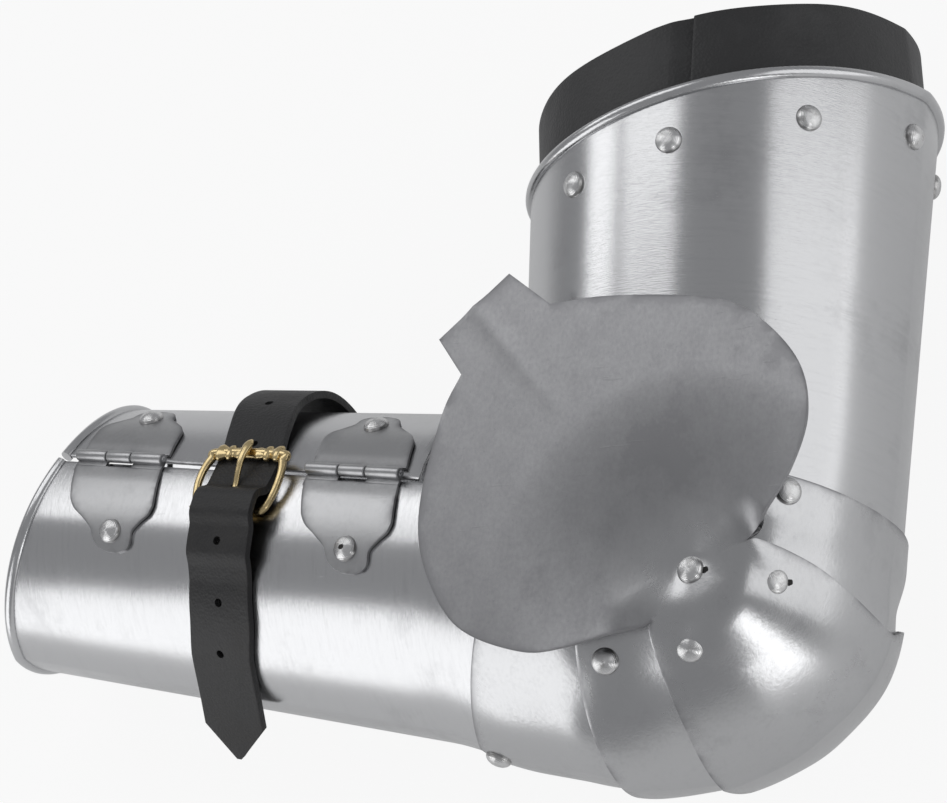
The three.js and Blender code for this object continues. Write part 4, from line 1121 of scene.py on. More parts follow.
class Rerebrace(SubAssembly):
    """The upper arm's tube with its rolled rim."""

    sizes = RerebraceSizes()

    def foot(self, angle: Array) -> Array:
        """Height of the tube's lower edge.

        Args:
            angle: Angle round the tube.

        Returns:
            The height over the elbow centre.
        """
        s = self.sizes
        turn = np.mod(angle, 2 * math.pi)
        near = np.minimum(np.minimum(turn, np.abs(math.pi - turn)), 2 * math.pi - turn)
        away = np.degrees(near)
        pivot = self.arm.sizes.elbow_pivot[1]
        ear = pivot - s.ear_drop * np.sqrt(np.clip(1 - (away / s.ear_turn) ** 2, 0, 1))
        behind = mix(pivot, s.behind, smoothstep(away, s.ear_turn, s.back_turn))
        front = mix(pivot, s.flank, smoothstep(away, s.ear_turn, s.flank_turn))
        front = front + (s.front - s.flank) * smoothstep(away, s.back_turn, s.front_turn)
        return np.where(away < s.ear_turn, ear, np.where(turn < math.pi, behind, front))

    def surface(self, u: Array, v: Array) -> Array:
        """Outer face of the tube.

        Args:
            u: Share of the way from the lower edge to the rim.
            v: Share of the round, bunched at the sides.

        Returns:
            The point.
        """
        angle = 2 * math.pi * v - self.sizes.bunching * np.sin(4 * math.pi * v)
        top = self.arm.rim_height(angle) - self.arm.sizes.rim_bead
        return self.arm.upper_arm(angle, mix(self.foot(angle), top, u))

    def build(self) -> None:
        """Builds and dresses the tube."""
        s = self.sizes
        a = self.arm.sizes
        rows = np.linspace(0, 1, s.rows) ** s.crowding
        columns = np.arange(s.columns) / s.columns
        middle = still(0, a.upper_length / 2, 0)
        tube = self.maker.sheet("tube", self.surface, rows, columns, middle, a.sheet, True)
        finish_edges(tube, ROUNDING)
        angle = np.linspace(0, 2 * math.pi, s.bead_steps, endpoint=False)
        line = self.arm.upper_arm(angle, self.arm.rim_height(angle) - a.rim_bead, -a.fit_gap)
        rim = self.maker.bar("rim", line, a.rim_bead, s.bead_sides, True)
        set_look(rim, 2)
        plate = join_pieces("rerebrace_plate", [tube, rim])
        finish_edges(plate, 0)
        looks = (self.looks.upper_arm, self.looks.upper_arm, self.looks.rim)
        dress(plate, "upper_arm", "steel_sheet", ["rerebrace_shell"], *looks)


@dataclass(frozen=True)
class BandSizes:
    """The leather band inside the rim, in millimetres and degrees."""

    thickness: float = 2.6
    lapped: float = 1.2
    above: float = 27.0
    below: float = 29.0
    lean: float = 0.5
    lean_back: float = 6.0
    lean_front: float = 3.2
    lap_start: float = 13.0
    lap_width: float = 27.0
    lap_ease: float = 8.0
    rounding: float = 0.45
    edge_wave: float = 0.4
    play: float = 0.6
    bead_from: float = 0.2
    bead_to: float = 0.42
    lean_from: float = 0.4
    wave: float = 0.5
    rows: int = 26
    columns: int = 360


class SuspensionBand(SubAssembly):
    """The leather band, lapped on itself."""

    sizes = BandSizes()

    def turn(self, v: Array) -> Array:
        """Degrees round the arm at a share of the band's length."""
        return self.sizes.lap_start + v * (360 + self.sizes.lap_width)

    def depth(self, degrees: Array, u: Array) -> Array:
        """Depth of the band's outer face under the tube's.

        Args:
            degrees: Degrees round the arm.
            u: Share of the band's height.

        Returns:
            The depth.
        """
        s = self.sizes
        a = self.arm.sizes
        lapped = smoothstep(degrees, s.lap_start + 360 - s.lap_ease, s.lap_start + 360)
        bead = (a.rim_bead - a.sheet / 2) * smoothstep(u, s.bead_from, s.bead_to)
        rise = np.clip((u - s.lean_from) / (1 - s.lean_from), 0, 1)
        back = np.maximum(0, np.sin(np.radians(degrees)))
        front = np.maximum(0, -np.sin(np.radians(degrees))) ** 2
        lean = (s.lean + s.lean_back * back - s.lean_front * front) * rise
        wave = s.wave * np.sin(np.radians(degrees) * 5 + 1) * rise
        return a.sheet + s.play + lapped * (s.lapped + a.fit_gap) + bead + lean + wave

    def thickness(self, u: Array, v: Array) -> Array:
        """Thickness, pared down at both ends.

        Args:
            u: Share of the band's height.
            v: Share of its length.

        Returns:
            The thickness.
        """
        s = self.sizes
        degrees = self.turn(v)
        end = s.lap_start + s.lap_width
        first = smoothstep(degrees, end + 1, end + s.lap_ease)
        last = 1 - smoothstep(degrees, s.lap_start + 360 - s.lap_ease, s.lap_start + 359)
        return mix(s.lapped, s.thickness, np.minimum(first, last))

    def surface(self, u: Array, v: Array) -> Array:
        """Outer face of the band.

        Args:
            u: Share of the band's height.
            v: Share of its length.

        Returns:
            The point.
        """
        s = self.sizes
        degrees = self.turn(v)
        angle = np.radians(degrees)
        rim = self.arm.rim_height(angle)
        y = mix(rim - s.below, rim + s.above + s.edge_wave * np.sin(angle * 7), u)
        centre = self.arm.upper_arm(angle, y, 0)
        lower = self.arm.upper_arm(angle, y, -1)
        return centre + (lower - centre) * self.depth(degrees, u)[..., None]

    def build(self) -> None:
        """Builds and dresses the band."""
        s = self.sizes
        rows, columns = np.linspace(0, 1, s.rows), np.linspace(0, 1, s.columns)
        top = still(0, self.arm.sizes.upper_length, 0)
        name = "suspension_band_leather"
        band = self.maker.sheet(name, self.surface, rows, columns, top, self.thickness)
        finish_edges(band, s.rounding)
        dress(band, "upper_arm", "band_leather", ["suspension_band"], self.looks.band, self.looks.band)


# Elbow


@dataclass(frozen=True)
class CopSizes:
    """The elbow cop, in millimetres and degrees."""

    radius: float = 47.2
    side: float = 60.0
    core: float = 21.5
    ear: float = 11.0
    bore: float = 1.6
    upper_back: float = -8.6
    upper_side: float = 23.0
    lower_back: float = -102.0
    lower_side: float = -125.0
    rise: float = 13.5
    rise_from: float = 5.0
    rise_to: float = 66.0
    rise_power: float = 1.6
    flat: float = 60.5
    flat_from: float = 8.0
    flat_to: float = 32.0
    fold: float = 0.8
    fold_half: float = 7.0
    fold_length: float = 70.0
    fold_power: float = 1.6
    fold_from: Pair = (-61.8, 112.4)
    fold_to: Pair = (-15.1, 57.8)
    part: float = 12.0
    blur: float = 16.0
    ease: float = 50.0
    share_half: Pair = (32.0, 20.0)
    last_out: float = 60.0
    merge: float = 0.06
    sharp: float = 32.0
    corner_steps: int = 12
    # Reach of the dirt and painted shade along the cop's cut edges
    dirt: float = 1.2
    core_rows: int = 16
    wing_steps: int = 220
    wing_rows: int = 56
    wing_round: float = 400.0
    dome_rows: int = 131
    dome_columns: int = 120
    upper_edge: Pair = (0.94, 1.3)
    lower_edge: Pair = (0.98, 4.2)
    ear_grid: tuple[int, int] = (80, 8)
    reach: Table = (
        (-130, 1.65), (-112, 1.37), (-102, 1.25), (-88, 1.12), (-75, 1.065), (-65, 1.015), (-57, 0.985),
        (-40, 0.985), (-10, 1), (10, 1.03), (25, 1.09),
    )
    crease: Table = (
        (-130, 84), (-100, 84), (-60, 72), (-40, 65), (-10, 66), (10, 73), (25, 80),
    )
    wing: tuple[Table, ...] = (
        (
            (44.6, 25), (48.9, 27.9), (59.6, 41.3), (65.7, 59.5), (60.7, 79.5), (42.7, 98.4), (22.9, 105.7),
            (-10.2, 109.9), (-32, 109.7),
        ),
        ((-32, 109.7), (-49, 123.1)),
        ((-49, 123.1), (-74.7, 101.6)),
        ((-74.7, 101.6), (-64.6, 87.5)),
        (
            (-64.6, 87.5), (-70.8, 73.4), (-76.2, 44.8), (-74.5, 24.1), (-64.8, 4.4), (-52.9, -6.7),
            (-32, -13.8), (-17, -12.5), (-4.2, -8.6), (6.6, -4.8),
        ),
    )


class ElbowCop(SubAssembly):
    """The elbow cop: one sheet that is a dome behind and a wing on the outer side."""

    sizes = CopSizes()

    @property
    def pivot(self) -> Array:
        """The elbow's pivot, seen from the outer side."""
        return np.array(self.arm.sizes.elbow_pivot)

    def dome(self, degrees: Array, angle: Array, offset: float = 0) -> Array:
        """Point of the dome.

        Args:
            degrees: Turn about the pivot.
            angle: Angle in the dome's section there.
            offset: Distance out from the dome.

        Returns:
            The point.
        """
        s = self.sizes
        crease = np.radians(soft_table(s.crease, degrees, s.blur))
        reach = s.radius * soft_table(s.reach, degrees, s.blur) + offset
        out, up = ArmFrame.creased(angle, reach, s.side + offset, crease)
        turn = np.radians(degrees)
        return points_at(self.pivot[0] + out * np.cos(turn), self.pivot[1] + out * np.sin(turn), up)

    def dome_angle(self, degrees: Array, out: Array) -> Array:
        """Section angle of the dome's point at a distance from the pivot.

        Args:
            degrees: Turn about the pivot.
            out: Distance from the pivot.

        Returns:
            The angle.
        """
        s = self.sizes
        crease = np.radians(soft_table(s.crease, degrees, s.blur))
        reach = s.radius * soft_table(s.reach, degrees, s.blur)
        return QUARTER * np.arcsin(np.clip(out / reach, 0, 1) * np.sin(crease)) / crease

    def dome_height(self, degrees: Array, out: Array) -> Array:
        """Height of the dome near the pivot, flat where there is no dome.

        Args:
            degrees: Turn about the pivot.
            out: Distance from the pivot.

        Returns:
            The height to the side.
        """
        s = self.sizes
        beyond = np.where(degrees > s.upper_side, degrees - s.upper_side, s.lower_side - degrees)
        held = np.clip(degrees, s.lower_side, s.upper_side)
        height = self.dome(held, self.dome_angle(held, out))[..., 2]
        return mix(height, s.side, smoothstep(beyond, 0, s.ease))

    def wing_height(self, x: Array, y: Array) -> Array:
        """Height of the wing, with the fold that runs in from its tab.

        Args:
            x: Place backwards.
            y: Place upwards.

        Returns:
            The height to the side.
        """
        s = self.sizes
        out = np.hypot(x - self.pivot[0], y - self.pivot[1])
        line = np.array(s.fold_to) - np.array(s.fold_from)
        line = line / np.linalg.norm(line)
        across = np.abs((x - s.fold_from[0]) * line[1] - (y - s.fold_from[1]) * line[0])
        along = (x - s.fold_from[0]) * line[0] + (y - s.fold_from[1]) * line[1]
        ridge = np.maximum(0, 1 - across / s.fold_half) ** s.fold_power
        fold = s.fold * (1 - smoothstep(along, 0, s.fold_length)) * ridge
        left = 1 - np.clip((out - s.rise_from) / (s.rise_to - s.rise_from), 0, 1)
        return s.side + s.rise * (1 - left**s.rise_power) + fold

    def share(self, degrees: Array, out: Array) -> Array:
        """Share of wing near the pivot.

        Args:
            degrees: Turn about the pivot, from the lower edge through the dome and the wing.
            out: Distance from the pivot.

        Returns:
            1 for wing, 0 for dome.
        """
        s = self.sizes
        half = s.share_half[0] + s.share_half[1] * np.clip(1 - out / s.core, 0, 1)
        low = s.lower_side + 360
        local = np.where(degrees > 190 + s.upper_side, degrees - 360, degrees)
        up = smoothstep(local, s.upper_side - half, s.upper_side + half)
        down = smoothstep(local + 360, low - half, low + half)
        near_low = smoothstep(np.where(degrees > 100, degrees, degrees + 360), low - half, low + half)
        on_wing = np.where(degrees > 100, 1 - near_low, up)
        return np.where(local < -60, 1 - down, on_wing)

    def core_point(self, degrees: Array, out: Array, part: Array, side: float) -> Array:
        """Point of the disc round the pivot, where the dome and the wing are one.

        Args:
            degrees: Turn about the pivot.
            out: Distance from the pivot.
            part: 1 for wing beyond the slit, -1 for dome beyond it, 0 for neither.
            side: 1 on the outer side, -1 on the inner.

        Returns:
            The point.
        """
        s = self.sizes
        turn = np.radians(degrees)
        x = self.pivot[0] + out * np.cos(turn)
        y = self.pivot[1] + out * np.sin(turn)
        local = np.where(degrees > 205, degrees - 360, degrees)
        dome = self.dome_height(local, np.minimum(out, s.last_out))
        if side < 0:
            return points_at(x, y, -dome)
        dome = mix(s.flat, dome, smoothstep(out, s.flat_from, s.flat_to))
        parted = smoothstep(out, s.core, s.core + s.part)
        share = self.share(degrees, np.minimum(out, s.core))
        share = np.where(part > 0, mix(share, 1, parted), mix(share, 0, parted))
        return points_at(x, y, mix(dome, self.wing_height(x, y), share))

    def height_at(self, x: float, y: float) -> float:
        """Height of the cop's outer face near its pivot.

        Args:
            x: Place backwards.
            y: Place upwards.

        Returns:
            The height to the side.
        """
        seen = np.array([x, y]) - self.pivot
        degrees = np.array(math.degrees(math.atan2(seen[1], seen[0])))
        return float(self.core_point(degrees, np.array(np.hypot(*seen)), np.array(-1.0), 1)[2])

    def wing_ribs(self, count: int) -> tuple[Array, Array]:
        """Evenly spaced points of the wing's outline, seen from the pivot.

        Args:
            count: Ribs for the whole round.

        Returns:
            Turn and distance of each.
        """
        s = self.sizes
        points = []
        for run in s.wing:
            line = rounded_line(run, s.corner_steps) if len(run) > 2 else np.array(run, float)
            lengths = np.concatenate([[0], np.cumsum(np.linalg.norm(np.diff(line, axis=0), axis=1))])
            steps = max(2, int(round(lengths[-1] / s.wing_round * count)))
            at = np.linspace(0, lengths[-1], steps + 1)[:-1]
            points.append(np.stack([np.interp(at, lengths, line[:, i]) for i in (0, 1)], -1))
        points.append(np.array([s.wing[-1][-1]], float))
        seen = np.vstack(points) - self.pivot
        degrees = np.degrees(np.arctan2(seen[:, 1], seen[:, 0]))
        degrees = np.where(degrees < s.upper_side - 1, degrees + 360, degrees)
        reach = np.hypot(seen[:, 0], seen[:, 1])
        degrees = np.concatenate([[s.upper_side], degrees, [s.lower_side + 360]])
        reach = np.concatenate([[s.core], reach, [s.core]])
        order = np.argsort(degrees, kind="stable")
        degrees, reach = degrees[order], reach[order]
        kept = np.concatenate([[True], np.diff(degrees) > 0.02])
        kept[-1] = True
        return degrees[kept], reach[kept]

    def core_rows(self) -> Array:
        """Distances from the pivot of the rows that the dome and the wing share."""
        return np.linspace(self.sizes.bore, self.sizes.core, self.sizes.core_rows)

    def wing_grid(self) -> Array:
        """Lays out the wing, outwards from the pivot along its ribs.

        Returns:
            Its points.
        """
        s = self.sizes
        degrees, reach = self.wing_ribs(s.wing_steps)
        core = np.repeat(self.core_rows()[:, None], len(reach), 1)
        beyond = np.linspace(0, 1, s.wing_rows)[1:, None]
        out = np.vstack([core, mix(s.core, reach[None, :], beyond)])
        turn = np.repeat(degrees[None, :], len(out), 0)
        return self.core_point(turn, out, np.ones_like(out), 1)

    def dome_grids(self) -> list[Array]:
        """Lays out the rest of the cop.

        Returns:
            Points of the outer disc, the dome's bowl, the inner disc and the inner ear.
        """
        s = self.sizes
        columns = np.linspace(0, 1, s.dome_columns)
        core = self.core_rows()
        turn = mix(s.upper_side, s.lower_side, columns)
        turns = np.repeat(turn[None, :], len(core), 0)
        outs = np.repeat(core[:, None], len(turn), 1)
        outer = self.core_point(turns, outs, -np.ones_like(outs), 1)
        inner = self.core_point(turns, outs, outs * 0, -1)
        k = np.linspace(1, -1, s.dome_rows)[:, None]
        away = np.abs(k)
        upper, lower = (np.minimum(away / full, 1) ** power for full, power in (s.upper_edge, s.lower_edge))
        first = mix(s.upper_back, s.upper_side, upper)
        last = mix(s.lower_back, s.lower_side, lower)
        degrees = mix(first, last, columns[None, :])
        start = self.dome_angle(degrees, s.core)
        angle = mix(QUARTER, start, away)
        angle = np.where(k < 0, math.pi - angle, angle)
        bowl = self.dome(degrees, angle)
        out = np.hypot(bowl[..., 0] - self.pivot[0], bowl[..., 1] - self.pivot[1])
        lifted = self.core_point(degrees, out, -np.ones_like(out), 1)
        near = (k > 0) & (out < max(s.core + s.part, s.flat_to))
        bowl[..., 2] = np.where(near, lifted[..., 2], bowl[..., 2])
        ear_turn = np.linspace(s.upper_side, s.lower_side + 360, s.ear_grid[0])
        ear_out = np.linspace(s.bore, s.ear, s.ear_grid[1])
        ears = self.core_point(*np.meshgrid(ear_turn, ear_out), 0, -1)
        return [outer, bowl, inner, ears]

    def dirt(self, grid: Array, edges: Sequence[Array]) -> Array:
        """How near the points of a grid are to the cop's cut edges, for the dirt and the painted shade along
        them.

        Args:
            grid: The grid's points.
            edges: For each cut edge in it, the edge's point for every row or column.

        Returns:
            For each point, 1 at an edge, fading away from it.
        """
        away = np.full(grid.shape[:2], np.inf)
        for edge in edges:
            away = np.minimum(away, np.linalg.norm(grid - edge, axis=-1))
        return np.exp(-away / self.sizes.dirt).ravel()

    def build(self) -> None:
        """Builds the cop as one sheet and dresses it."""
        s = self.sizes
        wing = self.wing_grid()
        outer, bowl, inner, ears = self.dome_grids()
        bowl_edges = [bowl[:, :1], bowl[:, -1:]]
        points: list[Array] = []
        faces: list[Sequence[int]] = []
        satin: list[Array] = []
        soil: list[Array] = []
        start = 0
        for grid, edges in ((wing, [wing[-1:]]), (outer, []), (bowl, bowl_edges), (inner, []), (ears, [])):
            away = np.linalg.norm(grid[..., :2] - self.pivot, axis=-1).ravel()
            # Satin on the wing beyond the flat round the pivot, its darker colour painted shade
            satin.append(smoothstep(away, s.flat_from, s.flat_to) * (grid is wing))
            faces += grid_faces(start + np.arange(len(away)).reshape(grid.shape[:2]))
            points.append(grid.reshape(-1, 3))
            # Dirt and painted shade along the cop's cut edges
            soil.append(self.dirt(grid, edges))
            start += len(away)
        cop = new_object("elbow_cop_plate", self.arm.to_row(np.vstack(points)), faces)
        set_values(cop, SATIN_AND_SHADE, np.concatenate(satin))
        set_values(cop, DIRT_AND_EDGE_SHADE, np.concatenate(soil))
        face_outwards(cop, s.merge * MM, self.arm.matrix @ Vector((*self.pivot, 0)))
        solid = cop.modifiers.new("sheet", "SOLIDIFY")
        solid.thickness = self.arm.sizes.sheet * MM
        solid.offset = -1
        solid.use_even_offset = False
        apply_modifiers(cop)
        finish_edges(cop, ROUNDING, s.sharp)
        dress(cop, "elbow", "steel_sheet", ["elbow_cop"], self.looks.cop)


@dataclass(frozen=True)
class LameSizes:
    """The two lames and the elbow plate, in millimetres and degrees."""

    rows: int = 50
    columns: int = 170
    upper_edge: Pair = (23.0, 27.0)
    upper_split: float = 0.4
    upper_turn: float = -34.0
    upper_end: Pair = (45.5, 50.5)
    upper_rise: Pair = (20.0, 38.0)
    lower_edge: float = 17.5
    lower_split: float = 0.35
    lower_turn: Pair = (-84.0, -97.9)
    lower_last: float = -98.0
    beyond: float = -108.0
    lower_start: float = -22.3
    lower_end: Pair = (11.4, 20.4)
    sunk: float = 7.0
    twist_to: float = 26.0
    blur: float = 7.0
    reach: Table = ((-22.3, 62.5), (-12, 66), (0, 70.8), (10, 74), (26, 74.6))
    side: Table = ((-22.3, 57), (0, 58.3), (10, 59.6), (26, 60.4))
    plate_edge: float = 24.0
    plate_start: Pair = (4.0, -3.0)
    plate_end: Pair = (68.0, 55.0)
    plate_rise: Pair = (12.2, 34.0)


class Lames(SubAssembly):
    """The two lames and the elbow plate, which slide under one another."""

    sizes = LameSizes()

    def __init__(self, arm: ArmFrame, looks: Finishes, cop: ElbowCop) -> None:
        """Keeps the frame, the finishes and the cop that they follow."""
        super().__init__(arm, looks)
        self.cop = cop

    def upper_point(self, y: Array, degrees: Array, angle: Array) -> Array:
        """Point of the upper lame, under the cop below its pivot and over the tube above it.

        Args:
            y: Height over the elbow centre.
            degrees: Turn about the pivot, 0 above it.
            angle: Angle in the section there.

        Returns:
            The point.
        """
        a = self.arm.sizes
        depth = a.sheet + a.slide_gap
        radius = self.cop.sizes.radius
        under = self.cop.dome(degrees, angle, -depth)
        out = under[..., 0] - a.elbow_pivot[0]
        share = np.clip(out / (radius - depth), 0, 1)
        far = np.minimum(np.hypot(out, (y - a.elbow_pivot[1]) * (1 - share**2)), radius)
        fallen = self.cop.dome(degrees, self.cop.dome_angle(degrees, far), -depth)[..., 2]
        sunk = np.sign(under[..., 2]) * np.minimum(np.abs(under[..., 2]), fallen)
        over = self.arm.upper_arm(angle, y, a.layer - a.lame_gap / 2)
        k = smoothstep(y, *self.sizes.upper_rise)
        above = np.stack([mix(under[..., 0], over[..., 0], k), y, mix(sunk, over[..., 2], k)], -1)
        return np.where((degrees < 0)[..., None], under, above)

    def upper(self, u: Array, v: Array) -> Array:
        """Outer face of the upper lame.

        Args:
            u: Share of the way from its lower edge to its upper one.
            v: Share of the way round, from the outer side to the inner.

        Returns:
            The point.
        """
        s = self.sizes
        edge = np.radians(mix(*s.upper_edge, u))
        angle = mix(edge, math.pi - edge, v)
        low = np.minimum(u / s.upper_split, 1)
        high = np.maximum((u - s.upper_split) / (1 - s.upper_split), 0)
        pivot = self.arm.sizes.elbow_pivot[1]
        y = mix(pivot, mix(*s.upper_end, np.abs(2 * v - 1)), high)
        return self.upper_point(y, mix(s.upper_turn, 0, low), angle)

    def lower_point(
        self, t: Array, degrees: Array, angle: Array, offset: float = 0
    ) -> Array:
        """Point of the lower lame, under the cop and then along the forearm.

        Args:
            t: Distance along the forearm.
            degrees: Turn about the elbow's pivot.
            angle: Angle in the section there.
            offset: Distance out from the lame.

        Returns:
            The point.
        """
        s = self.sizes
        a = self.arm.sizes
        under = self.cop.dome(degrees, angle, offset - a.layer - a.fit_gap)
        centre = s.sunk * (1 - smoothstep(t, s.lower_start, 0))
        reach = soft_table(s.reach, t, s.blur) - centre + offset
        side = soft_table(s.side, t, s.blur) + offset
        out, up = ArmFrame.creased(angle, reach, side, math.radians(a.crease))
        twist = math.radians(a.forearm_twist) * smoothstep(t, s.lower_start, s.twist_to)
        beyond = self.arm.forearm_point(t, out + centre, up, twist)
        return np.where((degrees > s.lower_last)[..., None], under, beyond)

    def lower(self, u: Array, v: Array) -> Array:
        """Outer face of the lower lame.

        Args:
            u: Share of the way from the cop to its edge along the forearm.
            v: Share of the way round, from the outer side to the inner.

        Returns:
            The point.
        """
        s = self.sizes
        edge = math.radians(s.lower_edge)
        angle = mix(edge, math.pi - edge, v)
        low = np.minimum(u / s.lower_split, 1)
        high = np.maximum((u - s.lower_split) / (1 - s.lower_split), 0)
        t = mix(s.lower_start, mix(*s.lower_end, np.abs(2 * v - 1)), high)
        return self.lower_point(t, np.where(u < s.lower_split, mix(*s.lower_turn, low), s.beyond), angle)

    def plate(self, u: Array, v: Array) -> Array:
        """Outer face of the elbow plate.

        Args:
            u: Share of the way along the forearm.
            v: Share of the way round, from the outer side to the inner.

        Returns:
            The point.
        """
        s = self.sizes
        a = self.arm.sizes
        edge = math.radians(s.plate_edge)
        angle = mix(edge, math.pi - edge, v)
        k = np.abs(2 * v - 1)
        t = mix(mix(*s.plate_start, k), mix(*s.plate_end, k), u)
        under = self.lower_point(t, t * 0 + s.beyond, angle, -a.layer - a.fit_gap)
        over = self.arm.forearm(angle - math.radians(a.forearm_twist), t, a.layer - a.lame_gap / 2)
        return mix(under, over, smoothstep(t, *s.plate_rise)[..., None])

    def build(self) -> None:
        """Builds and dresses the three plates."""
        s = self.sizes
        a = self.arm.sizes
        rows, columns = np.linspace(0, 1, s.rows), np.linspace(0, 1, s.columns)
        upper, lower = still(0, a.elbow_pivot[1], 0), still(0, a.forearm_height, 0)
        plate = self.arm.forearm_centre(s.plate_end[0])
        jobs = (
            ("upper_lame_plate", self.upper, upper, "upper_arm", "upper_lame"),
            ("lower_lame_plate", self.lower, lower, "lame", "lower_lame"),
            ("elbow_plate_sheet", self.plate, plate, "forearm", "elbow_plate"),
        )
        for name, surface, inside, body, node in jobs:
            piece = self.maker.sheet(name, surface, rows, columns, inside, a.sheet)
            finish_edges(piece, ROUNDING)
            dress(piece, body, "steel_sheet", [node], self.looks.lames, self.looks.lames)


# Forearm


@dataclass(frozen=True)
class ForearmSizes:
    """Seams and ends of the forearm's shells, in millimetres and degrees."""

    start: float = 57.0
    upper_side: float = 97.0
    upper_middle: float = 104.0
    hinges: Pair = (124.0, 232.0)
    seam_elbow: float = -23.2
    seam_wrist: float = -26.5
    seam_inner: float = -154.0
    seam_gap: float = 2.4
    rows: int = 60
    columns: tuple[int, int] = (200, 120)
    rim_steps: int = 160
    rim_sides: int = 20

    def seam(self, t: Array) -> Array:
        """Angle of the outer seam at a distance along the forearm."""
        share = (t - self.hinges[0]) / (self.hinges[1] - self.hinges[0])
        return np.radians(mix(self.seam_elbow, self.seam_wrist, share))


class Vambrace(SubAssembly):
    """The forearm's two shells."""

    sizes = ForearmSizes()

    def place(self, upper: bool, u: Array, v: Array) -> tuple[Array, Array]:
        """Where a shell's point lies on the forearm's tube.

        Args:
            upper: Whether it is the upper shell.
            u: Share of the way from the elbow to the cuff.
            v: Share of the way round, from seam to seam.

        Returns:
            Angle round the tube and distance along it.
        """
        s = self.sizes
        a = self.arm.sizes
        gap = s.seam_gap / (a.forearm_side[0] + a.forearm_side[1])
        near = mix(s.start, a.cuff_at, u)
        inner = math.radians(s.seam_inner)
        if upper:
            angle = mix(inner + gap, s.seam(near) - gap, v)
            start = mix(s.upper_side, s.upper_middle, np.sin(math.pi * v))
        else:
            angle = mix(s.seam(near) + gap, inner + 2 * math.pi - gap, v)
            start = s.start + v * 0
        return angle, mix(start, self.arm.cuff_distance(angle) - a.cuff_bead, u)

    def surface(self, upper: bool, u: Array, v: Array) -> Array:
        """Outer face of a shell, as place gives it."""
        return self.arm.forearm(*self.place(upper, u, v))

    def build(self) -> None:
        """Builds and dresses both shells."""
        s = self.sizes
        a = self.arm.sizes
        inside = self.arm.forearm_centre(a.cuff_at)
        rows = np.linspace(0, 1, s.rows)
        for upper, name, body, node in (
            (False, "vambrace_lower_plate", "forearm", "vambrace_lower_shell"),
            (True, "vambrace_upper_plate", "forearm_door", "vambrace_upper_shell"),
        ):
            columns = np.linspace(0, 1, s.columns[upper])
            shell = self.maker.sheet("shell", partial(self.surface, upper), rows, columns, inside, a.sheet)
            finish_edges(shell, ROUNDING)
            angle, t = self.place(upper, np.ones(s.rim_steps), np.linspace(0, 1, s.rim_steps))
            line = self.arm.forearm(angle, t, -a.sheet / 2)
            rim = self.maker.bar("rim", line, a.cuff_bead, s.rim_sides, False)
            set_look(rim, 2)
            plate = join_pieces(name, [shell, rim])
            finish_edges(plate, 0)
            # The shells' cut edges take the seam finish, painted shade for the gap
            dress(plate, body, "steel_sheet", [node], self.looks.forearm, self.looks.seam, self.looks.rim)


@dataclass(frozen=True)
class HingeSizes:
    """A hinge between the two shells, in millimetres."""

    name: str
    centre: float
    lower_reach: float
    upper_reach: float
    lower_lean: float
    upper_lean: float
    barrel: float = 2.3
    pin: float = 1.05
    leaf: float = 1.0
    length: float = 41.0
    play: float = 0.4
    clear: float = 3.1
    gap_share: float = 0.29
    sag: float = 0.35
    sag_rise: float = 0.18
    sag_fall: float = 0.3
    backing: float = 0.2
    bridge: float = 2.4
    strip_rounding: float = 0.15
    leaf_grid: tuple[int, int] = (60, 32)
    strip_grid: tuple[int, int] = (6, 8)
    sides: int = 32
    pin_sides: int = 24
    outline: Table = (
        (0, 1), (0.4, 0.97), (0.52, 0.89), (0.64, 0.66), (0.76, 0.47), (0.87, 0.43), (0.96, 0.3), (1, 0.12),
    )
    rounding: Table = ((0, 0.86), (0.25, 0.96), (0.6, 1.0))
    pin_ends: Table = ((0.35, 0.75), (0.1, 1.0))


